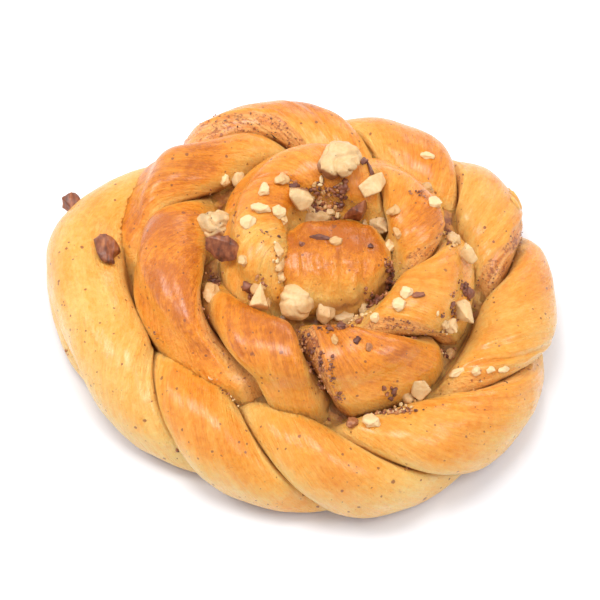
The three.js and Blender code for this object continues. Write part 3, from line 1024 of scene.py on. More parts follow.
NUT_PIECES = (
    NutPiece("walnut_top", NutForm.LUMP, rind=0.22, rind_side=(-0.5, -0.7, -0.5), grey=0.30,
             grow=(1.14, 1.14, 1.14)),
    NutPiece("walnut_left", NutForm.LUMP, rind=0.22, rind_side=(0.5, -1.0, -0.2), grey=0.65,
             grow=(2.0, 1.15, 1.1)),
    NutPiece("walnut_skin_left", NutForm.SKIN, grow=(1.5, 0.78, 0.85), corners=SHARD),
    NutPiece("hazelnut_mid", NutForm.KERNEL, rind=0.08, rind_side=(0.2, 0.3, -1.0)),
    NutPiece("wedge_top", NutForm.CHUNK, grow=(1.15, 1.15, 1.15), corners=WEDGE_TOP),
    NutPiece("walnut_skin_top", NutForm.SKIN, grow=(1.25, 1.1, 1.15)),
    NutPiece("wedge_mid", NutForm.CHUNK, grow=(1.1, 1.4, 1.3), corners=WEDGE_MID),
    NutPiece("chunk_upper", NutForm.CHUNK, rind=0.18, rind_side=(0.4, 0.8, 0.2), grey=0.35,
             grow=(1.1, 1.25, 1.2)),
    NutPiece("chunk_lower", NutForm.CHUNK, grey=0.1, grow=(1.6, 1.2, 1.35)),
    NutPiece("chunk_right", NutForm.CHUNK, grey=0.3, grow=(1.15, 1.3, 1.1)),
    NutPiece("chunk_low_right", NutForm.CHUNK, grey=0.15, grow=(1.15, 1.3, 1.15)),
    NutPiece("chunk_mid_right", NutForm.CHUNK, grey=0.2, grow=(0.95, 1.35, 1.1)),
    NutPiece("tail_chip", NutForm.KIDNEY, voxel=0.2),
    NutPiece("edge_chip", NutForm.SKIN, voxel=0.2),
)


# How much deeper than tall in the photograph a heap and a crumb are, seen at a slant
HEAP_DEPTH = 1.1
DROP_DEPTH = 1.06
# How far up its box a crumb lies on the dough
DROP_FOOT = 0.38


@dataclass(frozen=True)
class Cluster:
    """A patch of grains on the rope.

    Attributes:
        turn, round: its middle.
        count: how many grains it holds.
        spread: how far they reach along and across the rope, in mm.
        size: smallest and largest, in mm.
    """

    turn: float
    round: float
    count: int
    spread: tuple[float, float] = (2.0, 2.0)
    size: tuple[float, float] = (0.5, 1.3)


@dataclass(frozen=True)
class Heap:
    """Grains that lie in a hollow.

    Attributes:
        x, y: the photograph's pixel that shows its middle.
        wide, deep: how far it reaches sideways and upwards in the photograph, in pixels.
        count: how many grains it holds.
        size: smallest and largest, in mm.
    """

    x: float
    y: float
    wide: float
    deep: float
    count: int
    size: tuple[float, float]

    @property
    def reach(self) -> tuple[float, float]:
        """How far it reaches to the sides and to the back, in mm."""
        side, back = self.wide * MM_PER_PIXEL, self.deep * MM_PER_PIXEL * HEAP_DEPTH
        return round(side, 1), round(back, 1)


@dataclass(frozen=True)
class Drop:
    """A crumb dropped onto the dough.

    Attributes:
        left, right, top, bottom: the box round it in the photograph, in pixels.
        shade: how dark it is, from 0 to 1.
    """

    left: float
    right: float
    top: float
    bottom: float
    shade: float

    @property
    def foot(self) -> tuple[float, float]:
        """The pixel in which it lies on the dough."""
        return (self.left + self.right) / 2, self.bottom - DROP_FOOT * (self.bottom - self.top)

    @property
    def size(self) -> tuple[float, float]:
        """Its width and depth in mm."""
        side, back = self.right - self.left, self.bottom - self.top
        return round(side * MM_PER_PIXEL, 1), round(back * MM_PER_PIXEL * DROP_DEPTH, 1)


FILLING_CLUSTERS = (
    Cluster(776, 88, 12, (1.0, 2.0), (0.5, 1.1)),
    Cluster(831, 114, 10, (1.0, 1.0), (0.6, 1.3)),
    Cluster(504, 133, 4, (0.8, 0.8), (0.5, 1.0)),
    Cluster(882, 56, 9, (3.2, 1.8), (0.4, 0.9)),
    Cluster(746, 72, 12, (1.6, 1.4), (0.5, 1.2)),
    Cluster(731, 28, 16, (3.0, 1.4), (0.4, 1.0)),
    Cluster(568, 17, 8, (1.4, 1.0), (0.4, 0.9)),
    Cluster(240, 118, 12, (4.0, 1.2), (0.4, 0.8)),
    Cluster(233, -4, 3, (0.3, 0.3), (0.8, 1.2)),
    Cluster(195, -12, 4, (0.6, 0.6), (0.8, 1.5)),
    Cluster(292, 39, 14, (2.0, 0.8), (0.4, 0.9)),
    Cluster(325, 88, 16, (3.6, 0.8), (0.4, 1.0)),
)
FILLING_HEAPS = (
    # Behind the knob
    Heap(x=323, y=204, wide=20, deep=8, count=70, size=(0.7, 1.9)),
    Heap(x=341, y=203, wide=7, deep=9, count=34, size=(0.7, 2.0)),
    # Right of the knob
    Heap(x=389, y=280, wide=6, deep=8, count=56, size=(0.7, 1.9)),
    Heap(x=374, y=303, wide=10, deep=5, count=60, size=(0.7, 1.9)),
    # On the turn at the right
    Heap(x=467, y=291, wide=8, deep=7, count=44, size=(0.6, 1.6)),
    Heap(x=454, y=313, wide=5, deep=13, count=40, size=(0.5, 1.5)),
    # At the front right
    Heap(x=394, y=412, wide=18, deep=3, count=80, size=(0.5, 1.5)),
    Heap(x=444, y=352, wide=7, deep=6, count=34, size=(0.5, 1.4)),
    # On the turn at the left
    Heap(x=214, y=280, wide=8, deep=10, count=26, size=(0.5, 1.4)),
    Heap(x=256, y=288, wide=13, deep=8, count=26, size=(0.5, 1.5)),
    # Behind the knob
    Heap(x=290, y=182, wide=9, deep=6, count=18, size=(0.5, 1.3)),
    # In front of the knob
    Heap(x=334, y=328, wide=24, deep=5, count=34, size=(0.5, 1.4)),
    # At the right
    Heap(x=450, y=240, wide=6, deep=15, count=26, size=(0.4, 1.2)),
    # Down the seam in front
    Heap(x=303, y=345, wide=3, deep=10, count=40, size=(0.5, 1.5)),
    # Left of the knob
    Heap(x=268, y=236, wide=14, deep=10, count=16, size=(0.4, 1.1)),
    # Down the seam in front
    Heap(x=311, y=362, wide=3, deep=10, count=34, size=(0.5, 1.5)),
    Heap(x=320, y=380, wide=3, deep=10, count=30, size=(0.5, 1.5)),
    Heap(x=330, y=397, wide=3, deep=9, count=24, size=(0.5, 1.4)),
    # At the front right
    Heap(x=395, y=325, wide=8, deep=3, count=16, size=(0.4, 1.1)),
    Heap(x=412, y=334, wide=10, deep=4, count=18, size=(0.4, 1.1)),
    # At the front
    Heap(x=340, y=407, wide=4, deep=3, count=14, size=(0.5, 1.4)),
)
PASTE_HEAPS = (
    # Behind the knob
    Heap(x=323, y=207, wide=18, deep=7, count=20, size=(1.4, 2.8)),
    Heap(x=340, y=206, wide=7, deep=9, count=10, size=(1.4, 2.8)),
    # Right of the knob
    Heap(x=389, y=280, wide=4, deep=7, count=12, size=(1.5, 2.8)),
    Heap(x=374, y=303, wide=8, deep=4, count=14, size=(1.5, 2.8)),
    # On the turn at the right
    Heap(x=466, y=291, wide=6, deep=5, count=8, size=(1.3, 2.4)),
    Heap(x=452, y=313, wide=3, deep=12, count=10, size=(1.2, 2.2)),
    # At the front right
    Heap(x=394, y=408, wide=14, deep=3, count=11, size=(1.2, 2.2)),
    # On the turn at the left
    Heap(x=214, y=280, wide=6, deep=9, count=8, size=(1.2, 2.2)),
)
IVORY_CLUSTERS = (
    Cluster(297, 122, 6, (6.0, 1.4), (0.7, 1.7)),
    Cluster(323, 92, 10, (6.0, 0.9), (0.6, 1.2)),
    Cluster(240, 114, 4, (3.0, 0.9), (0.7, 1.2)),
    Cluster(592, 9, 3, (1.6, 0.8), (0.7, 1.4)),
)
IVORY_HEAPS = (
    # In front of the knob
    Heap(x=352, y=321, wide=20, deep=3, count=16, size=(0.9, 2.2)),
    # Left of the knob
    Heap(x=279, y=262, wide=3, deep=16, count=12, size=(0.8, 1.9)),
    # Behind the knob
    Heap(x=320, y=206, wide=20, deep=10, count=24, size=(1.2, 2.8)),
    # At the front right
    Heap(x=398, y=411, wide=16, deep=2, count=12, size=(0.8, 1.8)),
    Heap(x=444, y=353, wide=7, deep=6, count=8, size=(0.8, 1.6)),
    # At the right
    Heap(x=452, y=240, wide=6, deep=15, count=10, size=(0.9, 2.0)),
)
IVORY_DROPS = (
    # Left of the knob, towards the back
    Drop(left=274, right=288, top=172, bottom=186, shade=0.7),
    Drop(left=258, right=270, top=183, bottom=195, shade=0.3),
    Drop(left=252, right=270, top=202, bottom=215, shade=0.3),
    # On the knob and right of it
    Drop(left=370, right=393, top=218, bottom=234, shade=0.2),
    Drop(left=383, right=394, top=240, bottom=251, shade=0.4),
    Drop(left=331, right=343, top=236, bottom=245, shade=0.8),
    # At the left
    Drop(left=238, right=248, top=255, bottom=266, shade=0.8),
    Drop(left=241, right=255, top=216, bottom=227, shade=0.3),
    # At the back left
    Drop(left=231, right=244, top=171, bottom=185, shade=0.3),
    Drop(left=219, right=231, top=182, bottom=194, shade=0.2),
    # Left of the knob
    Drop(left=274, right=283, top=241, bottom=256, shade=0.8),
    Drop(left=275, right=284, top=257, bottom=271, shade=0.8),
    Drop(left=277, right=286, top=270, bottom=281, shade=0.8),
    # Left of the knob, towards the front
    Drop(left=252, right=266, top=281, bottom=294, shade=0.9),
    Drop(left=263, right=273, top=294, bottom=309, shade=0.9),
    # In front of the knob
    Drop(left=316, right=334, top=300, bottom=320, shade=0.4),
    Drop(left=335, right=356, top=308, bottom=321, shade=0.4),
    Drop(left=357, right=371, top=300, bottom=316, shade=0.2),
    Drop(left=371, right=381, top=313, bottom=321, shade=0.3),
    # At the back right
    Drop(left=421, right=434, top=152, bottom=159, shade=0.3),
    Drop(left=419, right=434, top=180, bottom=193, shade=0.9),
    Drop(left=426, right=442, top=195, bottom=208, shade=0.3),
    Drop(left=387, right=400, top=204, bottom=216, shade=0.9),
    Drop(left=393, right=402, top=226, bottom=238, shade=0.9),
    Drop(left=447, right=460, top=228, bottom=249, shade=0.7),
    # At the right
    Drop(left=442, right=458, top=330, bottom=345, shade=0.5),
    Drop(left=400, right=412, top=287, bottom=297, shade=0.2),
    Drop(left=394, right=406, top=297, bottom=309, shade=0.3),
    Drop(left=437, right=446, top=343, bottom=352, shade=0.6),
    Drop(left=446, right=454, top=348, bottom=357, shade=0.8),
    # On the turn at the front right
    Drop(left=450, right=464, top=369, bottom=376, shade=0.3),
    Drop(left=471, right=481, top=365, bottom=374, shade=0.3),
    Drop(left=485, right=496, top=366, bottom=372, shade=0.3),
    Drop(left=497, right=509, top=365, bottom=372, shade=0.4),
    # At the front right
    Drop(left=399, right=413, top=396, bottom=407, shade=0.6),
    Drop(left=363, right=380, top=412, bottom=430, shade=0.2),
    # In front of the knob
    Drop(left=332, right=339, top=334, bottom=345, shade=0.9),
    # At the far left
    Drop(left=203, right=219, top=281, bottom=302, shade=0.8),
    # Round the knob's back
    Drop(left=272, right=287, top=204, bottom=217, shade=0.4),
    Drop(left=279, right=287, top=214, bottom=224, shade=0.6),
    Drop(left=305, right=316, top=190, bottom=202, shade=0.5),
    Drop(left=325, right=335, top=208, bottom=216, shade=0.6),
    Drop(left=361, right=368, top=217, bottom=227, shade=0.5),
)
BROWN_DROPS = (
    # At the left
    Drop(left=241, right=256, top=278, bottom=292, shade=0.3),
    # In front of the knob
    Drop(left=338, right=347, top=321, bottom=330, shade=0.1),
    Drop(left=327, right=334, top=325, bottom=332, shade=0.3),
    Drop(left=356, right=364, top=317, bottom=324, shade=0.6),
    Drop(left=365, right=372, top=343, bottom=350, shade=0.7),
    Drop(left=353, right=361, top=336, bottom=343, shade=0.0),
    # At the front
    Drop(left=347, right=360, top=416, bottom=428, shade=0.6),
    # At the right
    Drop(left=462, right=475, top=284, bottom=299, shade=0.3),
    Drop(left=413, right=426, top=291, bottom=297, shade=0.4),
    # At the back right
    Drop(left=367, right=373, top=160, bottom=176, shade=0.2),
    Drop(left=361, right=367, top=152, bottom=168, shade=0.3),
    # On the knob
    Drop(left=309, right=328, top=234, bottom=239, shade=0.2),
    # Behind the knob
    Drop(left=289, right=300, top=182, bottom=189, shade=0.1),
    # Beside the knob
    Drop(left=368, right=374, top=243, bottom=249, shade=0.1),
    Drop(left=298, right=305, top=240, bottom=247, shade=0.4),
)


@dataclass(frozen=True)
class Grain:
    """One grain's place: a matrix in metres, and its shade from 0 to 1."""

    place: Matrix
    shade: float


def grain_forms(count: int, subdivisions: int, cuts: int, seed: int,
                voxel: float = 0.0) -> list[tuple[np.ndarray, np.ndarray]]:
    """Models a few chopped grains of unit size: a ball with flat faces cut off.

    Args:
        count: how many forms.
        subdivisions: how fine the ball is.
        cuts: how many faces are cut off each.
        seed: for the cuts' directions.
        voxel: size of the faces that a remesh gives it, 0 for no remesh.

    Returns:
        Points and triangles of each.
    """
    random = np.random.default_rng(seed)
    forms = []
    for _ in range(count):
        deselect()
        bpy.ops.mesh.primitive_ico_sphere_add(subdivisions=subdivisions, radius=0.5)
        obj = bpy.context.object
        for _ in range(cuts):
            direction = Vector(random.normal(size=3)).normalized()
            bpy.ops.object.mode_set(mode="EDIT")
            bpy.ops.mesh.select_all(action="SELECT")
            bpy.ops.mesh.bisect(plane_co=direction * random.uniform(0.24, 0.42), plane_no=direction,
                                use_fill=True, clear_outer=True)
            bpy.ops.object.mode_set(mode="OBJECT")
        if voxel:
            remesh_softly(obj, voxel, 2)
        points = get_points(obj)
        points += 0.11 * np.stack([wander(points, 0.35, s) for s in (1.0, 2.0, 3.0)], axis=-1)
        points += get_normals(obj) * (0.03 * wander(points, 0.12, 4.0))[:, None]
        set_points(obj, points)
        mesh = obj.data
        mesh.calc_loop_triangles()
        triangles = np.array([triangle.vertices[:] for triangle in mesh.loop_triangles])
        forms.append((points, triangles))
        bpy.data.objects.remove(obj)
        bpy.data.meshes.remove(mesh)
    return forms


def join_grains(name: str, forms: list[tuple[np.ndarray, np.ndarray]], grains: list[Grain],
                angle: float = 40.0) -> bpy.types.Object:
    """One mesh of many grains.

    Args:
        name: the piece's name.
        forms: the modelled grains, used in turn.
        grains: where each copy goes.
        angle: the shading's sharpest smooth edge, in degrees.

    Returns:
        The joined object.
    """
    points, triangles, shades, total = [], [], [], 0
    for i, grain in enumerate(grains):
        form, faces = forms[i % len(forms)]
        matrix = np.array(grain.place)
        points.append(form @ matrix[:3, :3].T + matrix[:3, 3])
        triangles.append(faces + total)
        shades.append(np.full(len(form), grain.shade))
        total += len(form)
    mesh = bpy.data.meshes.new(name)
    mesh.from_pydata(np.concatenate(points).tolist(), [], np.concatenate(triangles).tolist())
    obj = bpy.data.objects.new(name, mesh)
    bpy.context.scene.collection.objects.link(obj)
    write_values(obj, "shade", np.concatenate(shades))
    smooth_shade(obj, angle)
    return obj


@dataclass
class Toppings:
    """Crumbs of nut and grains of filling, scattered on the rope."""

    dough: bpy.types.Object
    rope: Rope = field(default_factory=Rope)
    fineness: float = 0.8
    seed: int = 4

    def __post_init__(self) -> None:
        """Starts the seeded draws, and prepares the dough for drops."""
        self.random = np.random.default_rng(self.seed)
        self.tree = BVHTree.FromObject(self.dough, bpy.context.evaluated_depsgraph_get())

    def grain(self, stand: Matrix, shape: Sequence[float], lift: float, tilt: float = 0.5) -> Grain:
        """A grain of that shape in mm, turned at random and set on stand."""
        spin = Matrix.Rotation(self.random.uniform(0, 2 * math.pi), 4, "Z")
        angle = self.random.normal(0.0, tilt)
        axis = Vector(self.random.normal(size=3)).normalized()
        lean = Matrix.Rotation(angle, 4, axis)
        sizes = Matrix.Diagonal((*shape, 1.0))
        raised = Matrix.Translation((0.0, 0.0, lift))
        place = Matrix.Scale(MM, 4) @ stand @ raised @ spin @ lean @ sizes
        return Grain(place, self.random.uniform())

    def shown_at(self, x: float, y: float) -> tuple[float, float]:
        """Where a pixel of the photograph shows the dough, in mm from the coil's middle, to a tenth."""
        place = self.tree.ray_cast(*photo_ray(x, y))[0]
        if place is None:
            raise ValueError(f"the photograph's pixel {x}, {y} doesn't show the dough")
        right, back = (place[i] / MM - COIL_CENTRE[i] for i in range(2))
        return round(right, 1), round(back, 1)

    def fall(self, x: float, y: float, upright: float) -> Matrix:
        """Where something dropped at a place in mm from the coil's middle comes to lie.

        Args:
            x, y: the place.
            upright: how much of the way it stays upright on a slope, 0 for none.

        Returns:
            A place in mm, with its axes to the right, to the back and out of the dough.
        """
        above = Vector((x + COIL_CENTRE[0], y + COIL_CENTRE[1], 60.0)) * MM
        place, normal = self.tree.ray_cast(above, Vector((0.0, 0.0, -1.0)))[:2]
        out = (normal + Vector((0.0, 0.0, upright))).normalized()
        back = out.cross(Vector((1.0, 0.0, 0.0))).normalized()
        stand = Matrix.Identity(4)
        for column, axis in enumerate((back.cross(out), back, out, place / MM)):
            for row in range(3):
                stand[row][column] = axis[row]
        return stand

    def drop(self, drop: Drop) -> Grain:
        """A crumb that lies where it meets the dough from above."""
        wide, deep = drop.size
        sizes = np.array((wide, deep, 0.72 * min(wide, deep))) * self.random.uniform(1.1, 1.2)
        stand = self.fall(*self.shown_at(*drop.foot), 0.8)
        spin = Matrix.Rotation(self.random.uniform(-0.4, 0.4), 4, "Z")
        raised = Matrix.Translation((0.0, 0.0, 0.18 * sizes[2]))
        place = Matrix.Scale(MM, 4) @ stand @ raised @ spin @ Matrix.Diagonal((*sizes, 1.0))
        return Grain(place, drop.shade)

    def heap(self, heap: Heap) -> list[Grain]:
        """The grains of one heap, thickest at its middle."""
        grains = []
        middle = self.shown_at(heap.x, heap.y)
        for _ in range(heap.count):
            x, y = self.random.normal(0.0, 0.55, 2) * np.array(heap.reach) + middle
            size = self.fineness * self.random.uniform(*heap.size)
            shape = size * self.random.uniform((0.8, 0.6, 0.5), (1.2, 1.0, 0.8))
            grains.append(self.grain(self.fall(x, y, 0.3), shape, size * 0.2, 1.0))
        return grains

    def cluster(self, cluster: Cluster) -> list[Grain]:
        """The grains of one cluster, thickest at its middle."""
        grains = []
        radius = float(self.rope.radius_at(np.array([cluster.turn]))[0])
        half = float(self.rope.half_width_at(np.array([cluster.turn]))[0])
        for _ in range(cluster.count):
            along, across = self.random.normal(0.0, 0.55, 2) * np.array(cluster.spread)
            turn = cluster.turn + math.degrees(along / max(radius, 8.0))
            stand = self.rope.stand(turn, cluster.round + math.degrees(across / half))
            size = self.fineness * self.random.uniform(*cluster.size)
            shape = size * self.random.uniform((0.8, 0.6, 0.5), (1.2, 1.0, 0.8))
            grains.append(self.grain(stand, shape, size * 0.12, 1.0))
        return grains

    def edge_grains(self) -> list[Grain]:
        """Grains of filling that stick to the cut edges along the valleys."""
        grains = []
        for number in range(1, len(VALLEYS) - 1):
            valley = VALLEYS[number]
            for width, grime, side in ((valley.before, valley.grime_before, Side.BEFORE),
                                       (valley.after, valley.grime_after, Side.AFTER)):
                if width < 1.0 or grime < 0.2:
                    continue
                for _ in range(int(18 * width * grime)):
                    grains.append(self.edge_grain(number, width, side))
        return grains

    def edge_grain(self, number: int, width: float, side: Side) -> Grain:
        """A grain on one cut edge."""
        before, here = VALLEYS[number - 1].turn, VALLEYS[number].turn
        turn = before + (here - before) * self.random.uniform(0.05, 0.97)
        turns = np.array([turn])
        half = float(self.rope.half_width_at(turns)[0]) * float(self.rope.strand_slope_at(turns)[0])
        away = width * self.random.beta(1.1, 1.8)
        around = number * math.pi + side.value * away / half - float(self.rope.twist_at(turns)[0])
        swayed = around - float(self.rope.sway_at(turns, np.array([around]))[0])
        stand = self.rope.stand(turn, math.degrees(swayed))
        size = self.random.uniform(0.25, 0.6)
        shape = size * self.random.uniform((0.8, 0.6, 0.4), (1.6, 1.0, 0.6))
        return self.grain(stand, shape, -0.1, 0.6)

    def paste(self) -> bpy.types.Object:
        """Lumps of moist filling: large grains run together into one skin."""
        grains = []
        for heap in PASTE_HEAPS:
            grains += self.heap(heap)
        obj = join_grains("filling_paste", grain_forms(4, 2, 1, 12), grains)
        remesh_softly(obj, 0.22 * MM, 2)
        places = get_points(obj) / MM
        rough = 0.28 * wander(places, 1.1, 6.0) + 0.16 * wander(places, 0.5, 2.0)
        set_points(obj, (places + get_normals(obj) * rough[:, None]) * MM)
        write_values(obj, "shade", 0.30 + 0.45 * wander(places, 2.2, 8.0))
        smooth_shade(obj, 60.0)
        return obj

    def ivory(self) -> bpy.types.Object:
        """All ivory crumbs."""
        grains = [self.drop(drop) for drop in IVORY_DROPS]
        for heap in IVORY_HEAPS:
            grains += self.heap(heap)
        for cluster in IVORY_CLUSTERS:
            grains += self.cluster(cluster)
        return join_grains("nut_crumbs", grain_forms(11, 4, 7, 31, 0.075), grains, 70.0)

    def filling(self) -> bpy.types.Object:
        """All brown grains of filling."""
        grains = []
        for heap in FILLING_HEAPS:
            grains += self.heap(heap)
        for cluster in FILLING_CLUSTERS:
            grains += self.cluster(cluster)
        grains += self.edge_grains()
        return join_grains("filling_grains", grain_forms(9, 2, 4, 47), grains)

    def lumps(self) -> bpy.types.Object:
        """The brown lumps that the photograph shows one by one."""
        grains = [self.drop(drop) for drop in BROWN_DROPS]
        return join_grains("filling_lumps", grain_forms(7, 4, 8, 52, 0.06), grains, 60.0)


@dataclass
class Sketch:
    """Puts nodes into a node tree, links what they are given, and hands back their outputs."""

    tree: bpy.types.NodeTree

    def add(self, kind: str, values: dict[int | str, Any] | None = None, **settings: Any) -> bpy.types.Node:
        """One node.

        Args:
            kind: the node's type, without its ShaderNode prefix.
            values: what goes into its inputs, a value or another node's output.
            settings: the node's own settings.

        Returns:
            The node.
        """
        node = self.tree.nodes.new("ShaderNode" + kind)
        for name, value in settings.items():
            setattr(node, name, value)
        for key, value in (values or {}).items():
            if isinstance(value, bpy.types.NodeSocket):
                self.tree.links.new(value, node.inputs[key])
            else:
                node.inputs[key].default_value = value
        return node

    def math(self, operation: str, a: Any, b: Any = 0.0, clamp: bool = False) -> bpy.types.NodeSocket:
        """The result of one Math node."""
        return self.add("Math", {0: a, 1: b}, operation=operation, use_clamp=clamp).outputs[0]

    def range(self, value: Any, low: float, high: float, to_low: float = 0.0,
              to_high: float = 1.0) -> bpy.types.NodeSocket:
        """value mapped from one range to another, and kept in it."""
        node = self.add("MapRange", {"Value": value, "From Min": low, "From Max": high,
                                     "To Min": to_low, "To Max": to_high}, clamp=True)
        return node.outputs["Result"]

    def noise(self, vector: Any, scale: float, detail: float = 2.0,
              roughness: float = 0.5) -> bpy.types.NodeSocket:
        """Noise from 0 to 1."""
        node = self.add("TexNoise", {"Vector": vector, "Scale": scale, "Detail": detail,
                                     "Roughness": roughness})
        return node.outputs["Fac"]

    def scale(self, vector: Any, by: Sequence[float]) -> bpy.types.NodeSocket:
        """vector with each axis scaled."""
        return self.add("Mapping", {"Vector": vector, "Scale": by}).outputs["Vector"]

    def mix(self, factor: Any, a: Any, b: Any) -> bpy.types.NodeSocket:
        """Colour between a and b."""
        node = self.add("Mix", {0: factor}, data_type="RGBA", clamp_factor=True)
        for name, value in (("A_Color", a), ("B_Color", b)):
            socket = next(s for s in node.inputs if s.identifier == name)
            if isinstance(value, bpy.types.NodeSocket):
                self.tree.links.new(value, socket)
            else:
                socket.default_value = value
        return next(s for s in node.outputs if s.identifier == "Result_Color")

    def ramp(self, value: Any,
             stops: Iterable[tuple[float, tuple[float, float, float]]]) -> bpy.types.NodeSocket:
        """Colour from a ramp of stops."""
        node = self.add("ValToRGB", {0: value})
        elements = node.color_ramp.elements
        for i, (position, colour) in enumerate(stops):
            element = elements[i] if i < 2 else elements.new(position)
            element.position = position
            element.color = (*colour, 1.0)
        return node.outputs["Color"]

    def attribute(self, name: str, output: str = "Fac") -> bpy.types.NodeSocket:
        """An attribute of the piece's own mesh."""
        return self.add("Attribute", attribute_name=name, attribute_type="GEOMETRY").outputs[output]


def new_group(name: str, inputs: Sequence[tuple[str, str, Any]], outputs: Sequence[tuple[str, str]]) -> tuple[
        bpy.types.NodeTree, Sketch, bpy.types.Node, bpy.types.Node]:
    """A shader node group with named sockets.

    Args:
        name: the group's name.
        inputs: name, socket type and default value of each input.
        outputs: name and socket type of each output.

    Returns:
        The group, a sketch of it, and its input and output nodes.
    """
    group = bpy.data.node_groups.new(name, "ShaderNodeTree")
    for label, kind, value in inputs:
        socket = group.interface.new_socket(label, in_out="INPUT", socket_type=kind)
        if value is not None:
            socket.default_value = value
    for label, kind in outputs:
        group.interface.new_socket(label, in_out="OUTPUT", socket_type=kind)
    into = group.nodes.new("NodeGroupInput")
    out = group.nodes.new("NodeGroupOutput")
    return group, Sketch(group), into, out


def specks_group() -> bpy.types.NodeTree:
    """Sparse round specks of several sizes: Vector, Scale, Size and Share in, Mask out."""
    group, sketch, into, out = new_group(
        "specks",
        [("Vector", "NodeSocketVector", None), ("Scale", "NodeSocketFloat", 200.0),
         ("Size", "NodeSocketFloat", 0.08), ("Share", "NodeSocketFloat", 0.4)],
        [("Mask", "NodeSocketFloat")],
    )
    wobble = sketch.add("TexNoise", {"Vector": into.outputs["Vector"], "Scale": 1400.0, "Detail": 2.0})
    bend = sketch.add("VectorMath", {0: wobble.outputs["Color"], 1: (0.0005, 0.0005, 0.0005)},
                      operation="MULTIPLY").outputs[0]
    place = sketch.add("VectorMath", {0: into.outputs["Vector"], 1: bend}, operation="ADD").outputs[0]
    cells = sketch.add("TexVoronoi", {"Vector": place, "Scale": into.outputs["Scale"]})
    random = sketch.add("SeparateColor", {0: cells.outputs["Color"]})
    kept = sketch.math("LESS_THAN", random.outputs[0], into.outputs["Share"])
    size = sketch.math("MULTIPLY", into.outputs["Size"],
                       sketch.range(random.outputs[1], 0.0, 1.0, 0.4, 1.4))
    inner = sketch.math("SUBTRACT", size, cells.outputs["Distance"])
    edge = sketch.math("DIVIDE", inner, sketch.math("MULTIPLY", size, 0.35), clamp=True)
    mask = sketch.math("MULTIPLY", edge, kept)
    group.links.new(mask, out.inputs["Mask"])
    return group


def grain_group() -> bpy.types.NodeTree:
    """Soft mottling of two sizes: Vector, Coarse, Fine in, Value from 0 to 1 out."""
    group, sketch, into, out = new_group(
        "mottling",
        [("Vector", "NodeSocketVector", None), ("Coarse", "NodeSocketFloat", 60.0),
         ("Fine", "NodeSocketFloat", 600.0)],
        [("Value", "NodeSocketFloat")],
    )
    coarse = sketch.add("TexNoise", {"Vector": into.outputs["Vector"], "Scale": into.outputs["Coarse"],
                                     "Detail": 3.0}).outputs["Fac"]
    fine = sketch.add("TexNoise", {"Vector": into.outputs["Vector"], "Scale": into.outputs["Fine"],
                                   "Detail": 2.0}).outputs["Fac"]
    total = sketch.math("ADD", sketch.math("MULTIPLY", coarse, 0.65), sketch.math("MULTIPLY", fine, 0.35))
    group.links.new(total, out.inputs["Value"])
    return group


@dataclass
class Finishes:
    """The node groups that several finishes share."""

    specks: bpy.types.NodeTree = field(default_factory=specks_group)
    mottling: bpy.types.NodeTree = field(default_factory=grain_group)

    def place(self, sketch: Sketch, group: bpy.types.NodeTree, values: dict[str, Any],
              output: str) -> bpy.types.NodeSocket:
        """Puts a group into a material and hands back one of its outputs."""
        node = sketch.add("Group", node_tree=group)
        for key, value in values.items():
            if isinstance(value, bpy.types.NodeSocket):
                sketch.tree.links.new(value, node.inputs[key])
            else:
                node.inputs[key].default_value = value
        return node.outputs[output]


def new_material(name: str) -> tuple[bpy.types.Material, Sketch, bpy.types.Node]:
    """An empty material, a sketch of its nodes, and its Principled shader."""
    material = bpy.data.materials.new(name)
    material.use_nodes = True
    tree = material.node_tree
    tree.nodes.clear()
    sketch = Sketch(tree)
    shader = sketch.add("BsdfPrincipled")
    output = sketch.add("OutputMaterial")
    tree.links.new(shader.outputs["BSDF"], output.inputs["Surface"])
    return material, sketch, shader


Colour = tuple[float, float, float]


